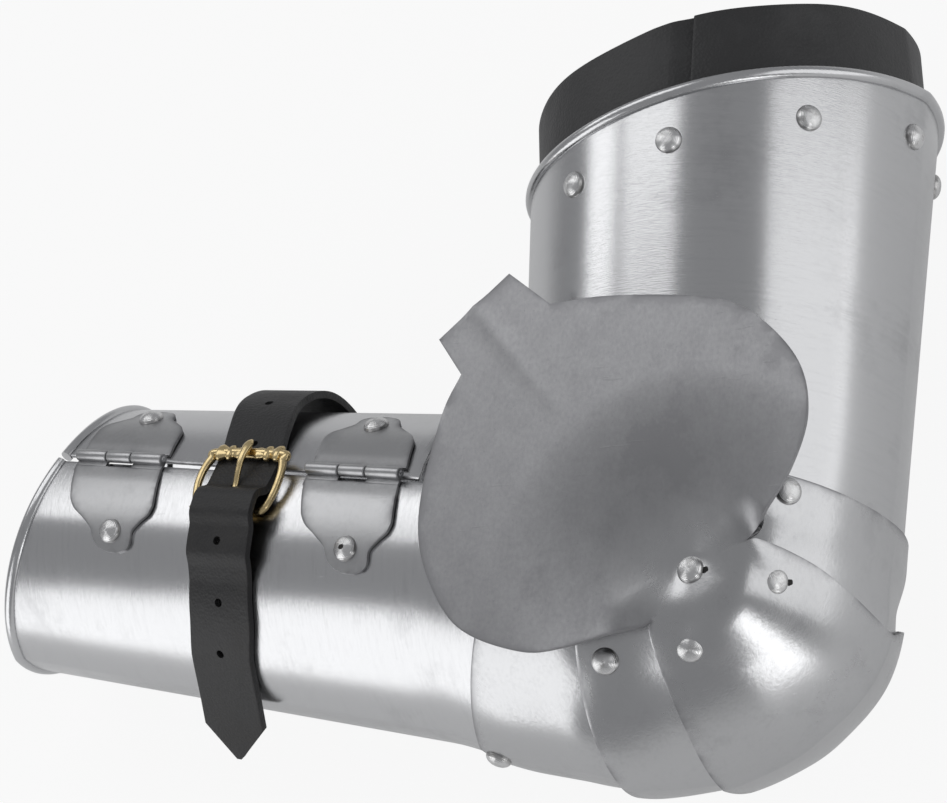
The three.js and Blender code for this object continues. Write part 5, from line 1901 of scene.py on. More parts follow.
class Hinge(SubAssembly):
    """Two leaves, their knuckles and the pin."""

    def __init__(self, arm: ArmFrame, looks: Finishes, seams: ForearmSizes, sizes: HingeSizes) -> None:
        """Keeps what it is given.

        Args:
            arm: The arm's frame.
            looks: The finishes.
            seams: The seam that it follows.
            sizes: Its own sizes.
        """
        super().__init__(arm, looks)
        self.seams = seams
        self.sizes = sizes

    def beside(self, upper: bool, away: Array, t: Array, offset: Array) -> Array:
        """Point beside the seam.

        Args:
            upper: Whether it is on the upper shell's side.
            away: Distance from the seam, round the forearm.
            t: Distance along the forearm.
            offset: Distance out from the tube.

        Returns:
            The point.
        """
        towards = -1 if upper else 1
        side = self.arm.sizes.forearm_side
        turn = towards * (away / ((side[0] + side[1]) / 2))
        return self.arm.forearm(self.seams.seam(t) + turn, t, offset)

    def axis(self, t: float) -> Array:
        """Point of the hinge's axis."""
        return self.arm.forearm(self.seams.seam(t), t, self.sizes.barrel + self.arm.sizes.fit_gap)

    def knuckle(self, start: float, end: float) -> bpy.types.Object:
        """Makes a knuckle, its ends a little rounded.

        Args:
            start: Where it starts along the forearm.
            end: Where it ends.

        Returns:
            The knuckle.
        """
        z = self.sizes
        at = [start + x for x, _ in z.rounding] + [end - x for x, _ in reversed(z.rounding)]
        shares = [share for _, share in (*z.rounding, *reversed(z.rounding))]
        line = np.stack([self.axis(t) for t in at])
        return self.maker.bar("knuckle", line, z.barrel * np.array(shares), z.sides, False)

    def leaf_surface(self, upper: bool, u: Array, v: Array) -> Array:
        """Outer face of a leaf.

        Args:
            upper: Whether it is the upper leaf.
            u: Share of the way from the seam to its tip.
            v: Share of its width.

        Returns:
            The point.
        """
        z = self.sizes
        away = mix(z.clear, z.upper_reach if upper else z.lower_reach, u)
        lean = z.upper_lean if upper else z.lower_lean
        width = z.length / 2 * eased_table(z.outline, u)
        t = z.centre + lean * (away - z.clear) + (2 * v - 1) * width
        sag = z.sag * smoothstep(u, 0, z.sag_rise) * (1 - smoothstep(u, z.sag_fall, 1))
        return self.beside(upper, away, t, self.arm.sizes.fit_gap + z.leaf + sag)

    def strip_surface(self, upper: bool, start: float, end: float, u: Array, v: Array) -> Array:
        """Outer face of the strip from a leaf to a knuckle.

        Args:
            upper: Whether it is the upper leaf's.
            start: Where the knuckle starts along the forearm.
            end: Where it ends.
            u: Share of the way from the knuckle to the leaf.
            v: Share of the knuckle's length.

        Returns:
            The point.
        """
        z = self.sizes
        away = mix(0, z.clear + z.bridge, u)
        return self.beside(upper, away, mix(start, end, v), self.arm.sizes.fit_gap + z.leaf)

    def leaf(self, upper: bool) -> bpy.types.Object:
        """Makes a leaf that thins a little at its edge, joined to its knuckles.

        Args:
            upper: Whether it is the upper leaf.

        Returns:
            The piece.
        """
        z = self.sizes
        half = z.length / 2
        a, b = z.centre - half * z.gap_share, z.centre + half * z.gap_share
        spans = [(z.centre - half, a - z.play / 2), (b + z.play / 2, z.centre + half)]
        if upper:
            spans = [(a + z.play / 2, b - z.play / 2)]
        inside = still(*self.arm.forearm_point(z.centre, 0, 0, 0.0))
        rows, columns = (np.linspace(0, 1, count) for count in z.leaf_grid)
        face = partial(self.leaf_surface, upper)
        leaf = self.maker.sheet("leaf", face, rows, columns, inside, z.leaf + z.backing)
        finish_edges(leaf, ROUNDING)
        parts = [leaf]
        rows, columns = (np.linspace(0, 1, count) for count in z.strip_grid)
        for start, end in spans:
            face = partial(self.strip_surface, upper, start, end)
            strip = self.maker.sheet("strip", face, rows, columns, inside, z.leaf)
            finish_edges(strip, z.strip_rounding)
            barrel = self.knuckle(start, end)
            set_look(barrel, 2)
            parts += [strip, barrel]
        whole = join_pieces(f"{z.name}_{'upper' if upper else 'lower'}_plate", parts)
        finish_edges(whole, 0)
        return whole

    def build(self) -> None:
        """Builds and dresses the hinge."""
        z = self.sizes
        for upper, side, body in ((False, "lower", "forearm"), (True, "upper", "forearm_door")):
            looks = (self.looks.hinge, self.looks.hinge, self.looks.rim)
            dress(self.leaf(upper), body, "hinge_steel", [f"{z.name}_{side}_leaf"], *looks)
        half = z.length / 2
        (far, thin), (near, full) = z.pin_ends
        at = z.centre + np.array([-half - far, -half - near, half + near, half + far])
        line = np.stack([self.axis(t) for t in at])
        radii = z.pin * np.array([thin, full, full, thin])
        pin = self.maker.bar(f"{z.name}_pin_rod", line, radii, z.pin_sides, False)
        finish_edges(pin, 0)
        dress(pin, "forearm", "rivet_steel", [f"{z.name}_pin"], self.looks.rim)


# Buckle and strap


@dataclass(frozen=True)
class BuckleSizes:
    """The buckle on the lower shell, in millimetres and degrees."""

    at: float = 171.0
    bar: float = 1.8
    rear_bar: float = 1.5
    inside: float = 27.8
    tongue: float = 1.1
    tongue_width: float = 4.2
    play: float = 0.15
    wall: float = 0.9
    front_turn: float = -27.3
    rear_turn: float = -5.5
    strap: float = 2.8
    gap: float = 0.3
    frame_path: tuple[tuple[float, float, float, float], ...] = (
        (0, -0.92, 0, 1.5), (0, 0.92, 0, 1.5), (0.07, 1.0, 0.02, 1.5), (0.25, 1.1, 0.14, 1.4),
        (0.47, 1.15, 0.38, 1.4), (0.7, 1.13, 0.68, 1.45), (0.88, 1.04, 0.92, 1.6), (1, 0.92, 1, 1.7),
        (1, -0.92, 1, 1.7), (0.88, -1.04, 0.92, 1.6), (0.7, -1.13, 0.68, 1.45), (0.47, -1.15, 0.38, 1.4),
        (0.25, -1.1, 0.14, 1.4), (0.07, -1.0, 0.02, 1.5),
    )
    tongue_path: tuple[Triple, ...] = (
        (0, 0, 1.1), (0.16, 0.02, 1.1), (0.34, 0.1, 1.1), (0.62, 0.62, 1.2), (0.85, 0.98, 1.55), (1, 1, 1.9),
        (1.16, 0.94, 1.5),
    )
    half_ridges: Table = (
        (0.12, 1.7), (0.30, 2.0), (0.49, 1.6), (0.55, 2.5), (0.62, 2.5), (0.68, 1.6), (0.76, 2.0),
        (0.90, 2.7), (0.96, 2.6), (1.0, 1.9),
    )
    ridge_share: float = 0.8
    front_share: float = 0.93
    front_stretch: float = 1.75
    tongue_stretch: float = 0.75
    tongue_root: float = 0.1
    tongue_steps: int = 40
    tongue_tip: tuple[float, ...] = (0.95, 0.8, 0.5)
    eye: tuple[float, ...] = (0.9, 0.98, 1, 1, 1, 1, 1, 0.98, 0.9)
    corner_steps: int = 8
    bar_steps: int = 121
    ring_sides: int = 16
    bar_sides: int = 20
    eye_sides: int = 24
    root_rise: float = 0.7
    sharp: float = 50.0

    @property
    def knuckle(self) -> float:
        """Outer radius of the rings round the rear bar."""
        return self.rear_bar + self.play + self.wall

    @property
    def rear_offset(self) -> float:
        """Height of the rear bar over the forearm's tube."""
        return self.knuckle + self.gap

    @property
    def front_offset(self) -> float:
        """Height of the front bar over the forearm's tube."""
        return self.gap + self.strap + self.gap + self.bar

    @property
    def tongue_rest(self) -> float:
        """Height of the tongue where it lies on the front bar."""
        return self.front_offset + self.bar + self.gap + self.tongue


class Buckle(SubAssembly):
    """The brass frame and its tongue."""

    sizes = BuckleSizes()

    def point(self, along: float, across: float, offset: float) -> Array:
        """Point of the buckle.

        Args:
            along: Share of the way from the rear bar to the front bar.
            across: Distance across the strap.
            offset: Height over the forearm's tube.

        Returns:
            The point.
        """
        s = self.sizes
        angle = math.radians(mix(s.rear_turn, s.front_turn, along))
        return self.arm.forearm(angle, s.at + across, offset)

    def tongue_line(self, steps: int) -> Array:
        """Centre line of the tongue.

        Args:
            steps: How many points it has.

        Returns:
            The points.
        """
        s = self.sizes
        knots = np.array(s.tongue_path)
        at = np.linspace(0, 1, steps) * knots[-1, 0]
        rises = eased_table(knots[:, :2], at)
        low = s.rear_offset + s.rear_bar * s.root_rise
        shares = mix(s.tongue_root, 1, at)
        heights = mix(low, s.tongue_rest, rises)
        return np.stack([self.point(share, 0.0, height) for share, height in zip(shares, heights)])

    def front_ways(self) -> tuple[Array, Array]:
        """Finds the directions at the front bar.

        Returns:
            Outwards, and round the forearm.
        """
        height = self.sizes.front_offset
        up = self.point(1.0, 0.0, height + 1) - self.point(1.0, 0.0, height)
        round_way = np.cross(self.point(1.0, 1.0, height) - self.point(1.0, 0.0, height), up)
        return up, round_way / np.linalg.norm(round_way)

    def frame_piece(self) -> bpy.types.Object:
        """Makes the frame: its ring and the ridged front bar.

        Returns:
            The piece.
        """
        s = self.sizes
        half = s.inside / 2 + s.rear_bar
        knots = []
        for along, across, rise, radius in s.frame_path:
            height = mix(s.rear_offset, s.front_offset, rise)
            knots.append([*self.point(along, across * half, height), radius])
        loop = np.array([knots[-1], *knots, *knots[:2]])
        line = rounded_line(loop, s.corner_steps)[s.corner_steps : -2 * s.corner_steps]
        ring = self.maker.bar("ring", line[:, :3], line[:, 3], s.ring_sides, True)
        across = np.linspace(-1, 1, s.bar_steps)
        ridges = [(-place, radius) for place, radius in reversed(s.half_ridges)] + list(s.half_ridges)
        radii = eased_table(ridges, across) * s.ridge_share
        front = np.stack([self.point(1.0, a * half * s.front_share, s.front_offset) for a in across])
        stretch = (self.front_ways()[1], s.front_stretch)
        bar = self.maker.bar("bar", front, radii, s.bar_sides, False, stretch)
        return join_pieces("buckle_frame_brass", [ring, bar])

    def tongue_piece(self) -> bpy.types.Object:
        """Makes the tongue: its eye round the rear bar and its prong.

        Returns:
            The piece.
        """
        s = self.sizes
        width = np.linspace(-0.5, 0.5, len(s.eye)) * s.tongue_width
        rear = np.stack([self.point(0.0, w, s.rear_offset) for w in width])
        eye = self.maker.bar("eye", rear, s.knuckle * np.array(s.eye), s.eye_sides, False)
        knots = np.array(s.tongue_path)
        widths = eased_table(knots[:, ::2], np.linspace(0, knots[-1, 0], s.tongue_steps))
        widths[-len(s.tongue_tip) :] *= s.tongue_tip
        line = self.tongue_line(s.tongue_steps)
        stretch = (self.front_ways()[0], s.tongue_stretch)
        prong = self.maker.bar("prong", line, widths, s.ring_sides, False, stretch)
        return join_pieces("buckle_tongue_brass", [eye, prong])

    def build(self) -> None:
        """Builds and dresses the frame and the tongue."""
        for piece, body, node in (
            (self.frame_piece(), "buckle", "buckle_frame"),
            (self.tongue_piece(), "tongue", "buckle_tongue"),
        ):
            finish_edges(piece, 0, self.sizes.sharp)
            dress(piece, body, "buckle_brass", [node], self.looks.brass)


@dataclass(frozen=True)
class StrapSizes:
    """The closing strap, in millimetres and degrees."""

    width: float = 26.8
    thickness: float = 2.8
    at: float = 170.5
    anchor: float = -166.0
    leaves: float = 52.0
    tail: float = 46.0
    tip: float = 15.0
    tip_flat: float = 2.0
    bend: float = 0.84
    hole: float = 1.6
    holes: tuple[float, ...] = (-56, -33.5, 7.4, 29.6, 50)
    lift: Table = (
        (-166, 0.3), (-150, 0.3), (-110, 3.6), (-80, 5.4), (-57, 4), (-34, 0.8), (-23.8, 0.3), (-15.3, 1.35),
        (-10.8, 5.9), (-7.8, 6.9), (-2.8, 6.9), (3.2, 4.2), (11.2, 3.8), (17.2, 1.4), (23.2, 0.3), (180, 0.3),
    )
    shift: Table = (
        (-95, 16), (-62, 13), (-40, 6), (-28, 2), (-10, 0), (35, -0.5), (60, 3),
    )
    tail_way: Pair = (0.62, -0.78)
    tail_lean: float = 0.16
    start: float = 8.0
    rows: int = 300
    columns: int = 28
    slit: float = 1.75
    slit_steps: int = 20
    cut_sides: tuple[int, int] = (12, 20)
    rounding: float = 0.25
    edge_wave: float = 0.12
    edge_pitch: float = 0.21
    curl: float = 1.1
    curl_span: Pair = (2.0, 20.0)
    curl_down: float = 0.4
    through: float = 3.0


class Strap(SubAssembly):
    """The leather strap, from its rivets over the top, through the buckle and down."""

    sizes = StrapSizes()

    def __init__(self, arm: ArmFrame, looks: Finishes, buckle: Buckle) -> None:
        """Keeps the frame, the finishes and the buckle."""
        super().__init__(arm, looks)
        self.buckle = buckle

    def path(self, degrees: Array, across: Array, above: float) -> Array:
        """Point of the strap where it lies on the forearm.

        Args:
            degrees: Degrees round the forearm.
            across: Distance from the strap's middle.
            above: Height over the strap's inner face.

        Returns:
            The point.
        """
        s = self.sizes
        angle = np.radians(np.minimum(degrees, s.leaves))
        lean = across + eased_table(s.shift, degrees)
        return self.arm.forearm(angle, s.at + lean, eased_table(s.lift, degrees) + above)

    def surface(self, u: Array, v: Array) -> Array:
        """Outer face of the strap.

        Args:
            u: Share of its length.
            v: Share of its width.

        Returns:
            The point.
        """
        s = self.sizes
        side = 2 * v - 1
        tail_way = self.arm.forearm_back * s.tail_way[0] + np.array([0, 0, s.tail_way[1]])
        tail_way /= np.linalg.norm(tail_way)
        degrees = mix(s.anchor - s.start, s.leaves, np.minimum(u / s.bend, 1))
        along = np.maximum((u - s.bend) / (1 - s.bend), 0) * s.tail
        taper = np.clip((along - s.tail + s.tip) / s.tip, 0, 1)
        edge = s.edge_wave * np.sin(degrees * s.edge_pitch) * np.sign(side)
        across = side * (s.width / 2) * mix(1, s.tip_flat / s.width, taper)
        across = across + along * s.tail_lean + edge * (1 - taper)
        curl = s.curl * side**2 * smoothstep(along, *s.curl_span) * (1 - taper)
        hanging = tail_way * along[..., None] - curl[..., None] * np.array([0, 0, s.curl_down])
        return self.path(degrees, across, s.thickness) + hanging

    def cutters(self) -> list[bpy.types.Object]:
        """Makes the shapes of the strap's slit and holes.

        Returns:
            One closed shape for each.
        """
        s = self.sizes
        shapes = [self.maker.bar("cut", self.buckle.tongue_line(s.slit_steps), s.slit, s.cut_sides[0], False)]
        for degrees in s.holes:
            low = self.path(np.array(degrees), np.array(0.0), -s.through)
            high = self.path(np.array(degrees), np.array(0.0), s.thickness + s.through)
            shapes.append(self.maker.bar("cut", np.stack([low, high]), s.hole, s.cut_sides[1], False))
        return shapes

    def build(self) -> None:
        """Builds the strap, cuts its holes and dresses it."""
        s = self.sizes
        inside = still(*self.arm.forearm_point(s.at, 0, 0, 0.0))
        marks = [s.bend, 1 - (1 - s.bend) * s.tip / s.tail]
        rows = np.unique(np.concatenate([np.linspace(0, 1, s.rows), marks]))
        columns = np.linspace(0, 1, s.columns)
        name = "closing_strap_leather"
        strap = self.maker.sheet(name, self.surface, rows, columns, inside, s.thickness)
        finish_edges(strap, s.rounding)
        shapes = self.cutters()
        for piece in (strap, *shapes):
            for look in (self.looks.strap, self.looks.cut_edge):
                piece.data.materials.append(look)
        for shape in shapes:
            set_look(shape, 1)
            cut = strap.modifiers.new("hole", "BOOLEAN")
            cut.object = shape
            cut.solver = "EXACT"
        apply_modifiers(strap)
        for shape in shapes:
            bpy.data.objects.remove(shape)
        finish_edges(strap, 0)
        dress(strap, "strap", "strap_leather", ["closing_strap"], self.looks.strap, self.looks.cut_edge)


# Rivets


@dataclass(frozen=True)
class RivetSizes:
    """Sizes of the rivets, in metres, their half outlines and the seed of their turn."""

    head: float = 0.0047
    tail: float = 0.0026
    tail_height: float = 0.0011
    sink: float = 0.0003
    seed: int = 7
    sides: int = 32
    merge: float = 1e-4
    sharp: float = 50.0
    whole_turn: float = 6.28
    head_power: float = 0.92
    head_from: float = 0.06
    head_steps: int = 14
    wide: float = 0.98
    head_skirt: Table = ((0.0, -0.3), (0.96, -0.3), (0.99, -0.05))
    tail_outline: Table = (
        (0, 0.15), (0.62, 0.15), (1, -0.1), (1, -0.7), (0.86, -1), (0, -1),
    )


@dataclass
class RivetPlace:
    """Where one rivet sits, read from its plain CAD shape."""

    seat: Vector
    axis: Vector
    dome: float
    depth: float


class Rivets(SubAssembly):
    """Every rivet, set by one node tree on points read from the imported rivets."""

    sizes = RivetSizes()

    def __init__(self, arm: ArmFrame, looks: Finishes) -> None:
        """Makes the head, the tail and the tree.

        Args:
            arm: The arm's frame.
            looks: The finishes.
        """
        super().__init__(arm, looks)
        self.head = self.turned("rivet_head_shape", self.head_profile())
        self.tail = self.turned("rivet_tail_shape", self.sizes.tail_outline)
        self.tree = self.build_tree()

    def head_profile(self) -> list[Pair]:
        """Draws a domed head one unit wide and one high.

        Returns:
            Its half outline.
        """
        s = self.sizes
        turns = np.linspace(s.head_from, QUARTER, s.head_steps)
        dome = [(math.cos(t) ** s.head_power, math.sin(t)) for t in turns]
        dome[-1] = (0.0, 1.0)
        return [*s.head_skirt, *dome]

    def turned(self, name: str, profile: Sequence[Pair]) -> bpy.types.Object:
        """Makes a closed round shape.

        Args:
            name: The shape's name.
            profile: Its half outline: distance from the middle, and height.

        Returns:
            The shape.
        """
        s = self.sizes
        reach, height = np.repeat(np.array(profile, float), s.sides, 0).T
        turn = np.tile(2 * math.pi * np.arange(s.sides) / s.sides, len(profile))
        number = np.arange(len(reach)).reshape(len(profile), s.sides)
        number = np.hstack([number, number[:, :1]])
        points = points_at(reach * np.cos(turn), reach * np.sin(turn), height)
        faces = [(a, d, c, b) for a, b, c, d in grid_faces(number)]
        shape = new_object(name, points, faces)
        set_values(shape, "from_middle", reach)
        face_outwards(shape, s.merge)
        finish_edges(shape, 0, s.sharp)
        return shape

    def read(self, node: str) -> RivetPlace:
        """Reads where a packed rivet sits.

        Args:
            node: The CAD node's name.

        Returns:
            Its seat under the head, the way its head faces, and its heights.
        """
        source = frame["nodes"][node]
        co = np.empty(len(source.data.vertices) * 3)
        source.data.vertices.foreach_get("co", co)
        world = np.array(source.matrix_world)
        points = co.reshape(-1, 3) @ world[:3, :3].T + world[:3, 3]
        points = np.unique(np.round(points, 7), axis=0)
        centre = points.mean(0)
        values, ways = np.linalg.eigh(np.cov((points - centre).T))
        alone = 0 if values[1] - values[0] > values[2] - values[1] else 2
        axis = ways[:, alone]
        height = (points - centre) @ axis
        reach = np.linalg.norm(points - centre - np.outer(height, axis), axis=1)
        if height[np.argmax(reach)] < 0:
            axis = -axis
            height = -height
        wide = reach > reach.max() * self.sizes.wide
        seat = height[wide].min()
        middle = centre + axis * seat
        dome = height.max() - seat
        depth = seat - (height.min() + self.sizes.tail_height)
        seat_at = middle - axis * self.sizes.sink
        return RivetPlace(Vector(seat_at), Vector(axis), float(dome), float(depth))

    def build_tree(self) -> bpy.types.NodeTree:
        """Builds the tree that sets a head and a tail on each point.

        Returns:
            The tree.
        """
        tree = bpy.data.node_groups.new("set_rivets", "GeometryNodeTree")
        for name, kind in (
            ("Geometry", "Geometry"), ("Head Shape", "Object"), ("Tail Shape", "Object"),
            ("Head Radius", "Float"), ("Tail Radius", "Float"), ("Tail Height", "Float"), ("Seed", "Int"),
            ("Finish", "Material"),
        ):
            tree.interface.new_socket(name, in_out="INPUT", socket_type=f"NodeSocket{kind}")
        tree.interface.new_socket("Geometry", in_out="OUTPUT", socket_type="NodeSocketGeometry")
        g = Graph(tree)
        given = {socket.name: Field(g, socket) for socket in tree.nodes.new("NodeGroupInput").outputs}
        stored = "GeometryNodeInputNamedAttribute"
        axis = g.node(stored, {"data_type": "FLOAT_VECTOR"}, {"Name": "rivet_axis"})
        dome = g.node(stored, {"data_type": "FLOAT"}, {"Name": "rivet_dome"})
        depth = g.node(stored, {"data_type": "FLOAT"}, {"Name": "rivet_depth"})
        aligned = g.node("FunctionNodeAlignRotationToVector", {"axis": "Z"}, {"Vector": axis})
        chance = {2: 0.0, 3: self.sizes.whole_turn, "Seed": given["Seed"]}
        angle = g.node("FunctionNodeRandomValue", {"data_type": "FLOAT"}, chance, 1)
        spin = g.node("FunctionNodeAxisAngleToRotation", {}, {"Axis": (0, 0, 1), "Angle": angle})
        turned = g.node("FunctionNodeRotateRotation", {"rotation_space": "LOCAL"}, {0: aligned, 1: spin})
        wide, narrow = given["Head Radius"], given["Tail Radius"]
        head_size = g.node("ShaderNodeCombineXYZ", {}, {0: wide, 1: wide, 2: dome})
        tail_size = g.node("ShaderNodeCombineXYZ", {}, {0: narrow, 1: narrow, 2: given["Tail Height"]})
        shift = g.node("ShaderNodeVectorMath", {"operation": "SCALE"}, {0: axis, "Scale": depth * -1.0})
        sunk = g.node("GeometryNodeSetPosition", {}, {"Geometry": given["Geometry"], "Offset": shift})
        joined = g.node("GeometryNodeJoinGeometry", {}, {})
        for points, shape, size in (
            (given["Geometry"], "Head Shape", head_size),
            (sunk, "Tail Shape", tail_size),
        ):
            source = g.node("GeometryNodeObjectInfo", {}, {"Object": given[shape]}, "Geometry")
            inputs = {"Points": points, "Instance": source, "Rotation": turned, "Scale": size}
            placed = g.node("GeometryNodeInstanceOnPoints", {}, inputs)
            tree.links.new(placed.socket, joined.socket.node.inputs[0])
        real = g.node("GeometryNodeRealizeInstances", {}, {"Geometry": joined})
        finish = {"Geometry": real, "Material": given["Finish"]}
        g.end("NodeGroupOutput", g.node("GeometryNodeSetMaterial", {}, finish))
        return tree

    def build(self) -> None:
        """Sets every body's rivets, as one piece for each body."""
        s = self.sizes
        pivots = ("elbow_pivot_rivet", "slide_rivet", "lower_pivot_rivet")
        plate = [f"elbow_plate_rivet_{side}" for side in ("outer", "back", "inner")]
        homes = {
            "upper_arm": [f"band_rivet_{i}" for i in range(1, 11)]
            + ["upper_lame_rivet_outer", "upper_lame_rivet_inner"],
            "elbow": [f"{pivot}_{side}" for pivot in pivots for side in ("outer", "inner")],
            "lame": ["plate_pivot_rivet_outer", "plate_pivot_rivet_inner"],
            "forearm": plate
            + ["elbow_hinge_lower_rivet", "wrist_hinge_lower_rivet", "buckle_chape_rivet"]
            + ["strap_rivet_1", "strap_rivet_2"],
            "forearm_door": ["elbow_hinge_upper_rivet", "wrist_hinge_upper_rivet"],
        }
        values = {
            "Head Shape": self.head, "Tail Shape": self.tail, "Head Radius": s.head, "Tail Radius": s.tail,
            "Tail Height": s.tail_height, "Seed": s.seed, "Finish": self.looks.rivets,
        }
        for body, nodes in homes.items():
            places = [self.read(node) for node in nodes]
            piece = new_object(f"rivets_of_{body}", np.array([p.seat for p in places]), [])
            axis = piece.data.attributes.new("rivet_axis", "FLOAT_VECTOR", "POINT")
            axis.data.foreach_set("vector", [c for p in places for c in p.axis])
            set_values(piece, "rivet_dome", [p.dome for p in places])
            set_values(piece, "rivet_depth", [p.depth for p in places])
            modifier = piece.modifiers.new("rivets", "NODES")
            modifier.node_group = self.tree
            for socket in self.tree.interface.items_tree:
                if socket.in_out == "INPUT" and socket.name in values:
                    modifier[socket.identifier] = values[socket.name]
            apply_modifiers(piece)
            dress(piece, body, "rivet_steel", nodes, self.looks.rivets)
        for shape in (self.head, self.tail):
            bpy.data.objects.remove(shape)


@dataclass(frozen=True)
class HoleShadeSizes:
    """Places and radii of the painted hole shades, in millimetres."""

    cop_marks: tuple[Triple, ...] = ((26.2, 13.6, 1.25), (49.6, 12.3, 1.2))
    dimple: float = 0.95
    above: float = 0.04
    below: float = 0.5
    dimple_above: float = 0.03
    step: float = 0.4
    sides: int = 24


class PaintedHoleShades(SubAssembly):
    """Painted shade for the holes that show beside two rivets, and for the dimple in a hinge rivet."""

    sizes = HoleShadeSizes()

    def pit(self, centre: Array, normal: Array, radius: float) -> bpy.types.Object:
        """Makes a shallow dark disc set into a face: painted shade where a hole is.

        Args:
            centre: Its middle, in the arm's frame.
            normal: The way that the face looks.
            radius: Its mean radius.

        Returns:
            The disc.
        """
        s = self.sizes
        across = np.cross(normal, (0, 1.0, 0))
        across /= np.linalg.norm(across)
        second = np.cross(normal, across)
        turn = np.linspace(0, 2 * math.pi, s.sides, endpoint=False)
        wobble = radius * (1 + 0.13 * np.sin(turn * 2 + 0.6) + 0.06 * np.sin(turn * 5))
        rim = centre + (np.cos(turn) * wobble)[:, None] * across + (np.sin(turn) * wobble)[:, None] * second
        points = np.vstack([rim + normal * s.above, rim - normal * s.below])
        count = len(turn)
        sides = [(k, (k + 1) % count, (k + 1) % count + count, k + count) for k in range(count)]
        faces = [tuple(range(count)), tuple(range(2 * count - 1, count - 1, -1)), *sides]
        piece = new_object("pit", self.arm.to_row(points), faces)
        face_outwards(piece)
        return piece

    def build(self, cop: ElbowCop, rivets: Rivets) -> None:
        """Builds and dresses the painted-shade pits on the cop and the one on the elbow hinge's rivet.

        Args:
            cop: The cop, whose face the first ones lie in.
            rivets: The rivets, for where the hinge's rivet sits.
        """
        s = self.sizes
        pits = []
        for x, y, radius in s.cop_marks:
            here, back, up = (cop.height_at(x + dx, y + dy) for dx, dy in ((0, 0), (s.step, 0), (0, s.step)))
            normal = np.array([-(back - here) / s.step, -(up - here) / s.step, 1.0])
            normal /= np.linalg.norm(normal)
            pits.append(self.pit(np.array([x, y, here]), normal, radius))
        piece = join_pieces("cop_hole_ends", pits)
        dress(piece, "elbow", "steel_sheet", [], self.looks.hole)
        place = rivets.read("elbow_hinge_lower_rivet")
        normal = np.array(self.arm.turn).T @ np.array(place.axis)
        centre = self.arm.from_row(np.array(place.seat)) + normal * (place.dome / MM + s.dimple_above)
        # A dark disc on the hinge rivet's head: painted shade for its dimple
        dimple = self.pit(centre, normal, s.dimple)
        dimple.name = "hinge_rivet_dimple"
        dress(dimple, "forearm", "rivet_steel", [], self.looks.hole)


# Chape


def dress_chape(looks: Finishes) -> None:
    """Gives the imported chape, hidden under the strap, its brass.

    Args:
        looks: The finishes.
    """
    chape = frame["nodes"]["buckle_chape"]
    for holder in chape.material_slots:
        holder.link = "OBJECT"
        holder.material = looks.brass


# Studio


@dataclass(frozen=True)
class Softbox:
    """A soft light, placed in the arm's frame, in millimetres."""

    name: str
    centre: Triple
    width: float
    height: float
    radiance: float
    target: Triple = (-60.0, 60.0, 0.0)


@dataclass(frozen=True)
class Shot:
    """Where the photo was taken from, in the arm's frame, and the lens, in millimetres."""

    towards: Triple = (0.47473, -0.35112, 0.80706)
    right: Triple = (0.87418, 0.08163, -0.47870)
    up: Triple = (0.10220, 0.93277, 0.34569)
    target: Triple = (-101.988, 108.879, 0)
    distance: float = 1261.82
    sensor: float = 36.0
    lens: float = 130.43


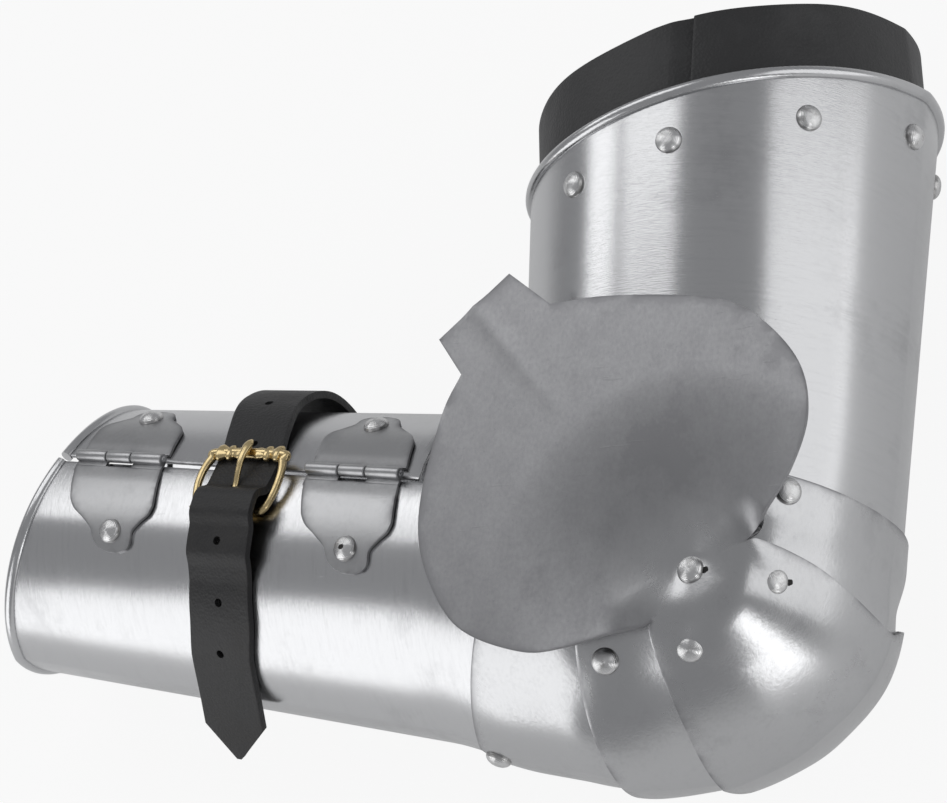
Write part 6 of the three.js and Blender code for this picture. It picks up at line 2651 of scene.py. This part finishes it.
class Studio:
    """Pale floor, soft lights and the camera."""

    shot = Shot()
    half_floor = 6.0
    dim = (0.30, 0.303, 0.312, 1)
    pale = (0.86, 0.86, 0.86, 1)
    white = (1, 1, 1, 1)
    lights = (
        Softbox("softbox_upper", (-205, 455, 630), 450, 400, 1.08, (0, 120, 0)),
        Softbox("softbox_left", (-560, 440, 470), 260, 380, 1.3),
        Softbox("softbox_right", (660, 150, 155), 620, 620, 0.84, (40, 60, 0)),
        Softbox("softbox_below", (-600, -380, 190), 900, 470, 1.2, (-120, 20, 0)),
        Softbox("softbox_dome", (335, -300, 18), 400, 134, 1.95, (40, -30, 0)),
    )

    def __init__(self, arm: ArmFrame) -> None:
        """Keeps the frame."""
        self.arm = arm

    def soften(self) -> None:
        """Soft even surroundings, white where the camera sees them."""
        world = bpy.data.worlds.new("studio")
        bpy.context.scene.world = world
        g = Graph(world)
        share = g.ray("Is Camera Ray") + (g.ray("Is Glossy Ray") + g.ray("Is Transmission Ray")) * 0.04
        around = g.node("ShaderNodeBackground", {}, {"Color": self.dim})
        seen = g.node("ShaderNodeBackground", {}, {"Color": self.white})
        g.end("ShaderNodeOutputWorld", g.node("ShaderNodeMixShader", {}, {0: share, 1: around, 2: seen}))

    def lay_floor(self) -> None:
        """A pale floor that keeps a faint shadow."""
        half = self.half_floor
        corners = np.array([(-half, -half, 0), (half, -half, 0), (half, half, 0), (-half, half, 0)])
        floor = new_object("studio_floor", corners, [(0, 1, 2, 3)])
        g = shader("studio_floor_white")
        matt = g.node("ShaderNodeBsdfDiffuse", {}, {"Color": self.pale})
        glow = g.node("ShaderNodeEmission", {}, {"Color": self.white, "Strength": 1.0})
        share = g.ray("Is Camera Ray") * 0.9 + (g.ray("Is Glossy Ray") + g.ray("Is Transmission Ray")) * 0.25
        g.end("ShaderNodeOutputMaterial", g.node("ShaderNodeMixShader", {}, {0: share, 1: matt, 2: glow}))
        floor.data.materials.append(g.holder)

    def light(self) -> None:
        """Sets the softboxes."""
        for box in self.lights:
            centre = self.arm.matrix @ Vector(box.centre)
            target = self.arm.matrix @ Vector(box.target)
            data = bpy.data.lights.new(box.name, "AREA")
            data.shape = "RECTANGLE"
            data.size = box.width * MM
            data.size_y = box.height * MM
            data.energy = box.radiance * math.pi * box.width * box.height * MM * MM
            lamp = bpy.data.objects.new(box.name, data)
            bpy.context.scene.collection.objects.link(lamp)
            away = (centre - target).normalized()
            side = (self.arm.turn @ Vector((0, 1, 0))).cross(away).normalized()
            up = away.cross(side)
            lamp.matrix_world = Matrix.Translation(centre) @ Matrix((side, up, away)).transposed().to_4x4()
            lamp.visible_camera = False

    def aim(self) -> None:
        """Sets the camera where the photo was taken."""
        shot = self.shot
        data = bpy.data.cameras.new("camera")
        data.sensor_width = shot.sensor
        data.lens = shot.lens
        data.clip_start = 0.01
        data.clip_end = 50
        camera = bpy.data.objects.new("camera", data)
        bpy.context.scene.collection.objects.link(camera)
        ways = Matrix((shot.right, shot.up, shot.towards)).transposed()
        place = self.arm.matrix @ (Vector(shot.target) + Vector(shot.towards) * shot.distance)
        camera.matrix_world = Matrix.Translation(place) @ (self.arm.turn @ ways).to_4x4()
        bpy.context.scene.camera = camera

    def build(self) -> None:
        """Sets the whole studio."""
        self.soften()
        self.lay_floor()
        self.light()
        self.aim()


def main() -> None:
    """Builds every piece of the armour, then the studio."""
    logging.basicConfig(level=logging.INFO, format="%(message)s")
    arm = ArmFrame(frame["joints"], ArmSizes())
    looks = Finishes(arm)
    Rerebrace(arm, looks).build()
    SuspensionBand(arm, looks).build()
    cop = ElbowCop(arm, looks)
    cop.build()
    Lames(arm, looks, cop).build()
    vambrace = Vambrace(arm, looks)
    vambrace.build()
    for sizes in (
        HingeSizes("elbow_hinge", 124.0, 34.5, 31.0, -0.3, 0.3),
        HingeSizes("wrist_hinge", 232.0, 37.0, 31.0, -0.3, 0.15),
    ):
        Hinge(arm, looks, vambrace.sizes, sizes).build()
    buckle = Buckle(arm, looks)
    buckle.build()
    Strap(arm, looks, buckle).build()
    rivets = Rivets(arm, looks)
    PaintedHoleShades(arm, looks).build(cop, rivets)
    rivets.build()
    dress_chape(looks)
    Studio(arm).build()
    bpy.context.scene.view_settings.view_transform = "Standard"


if __name__ == "__main__":
    main()
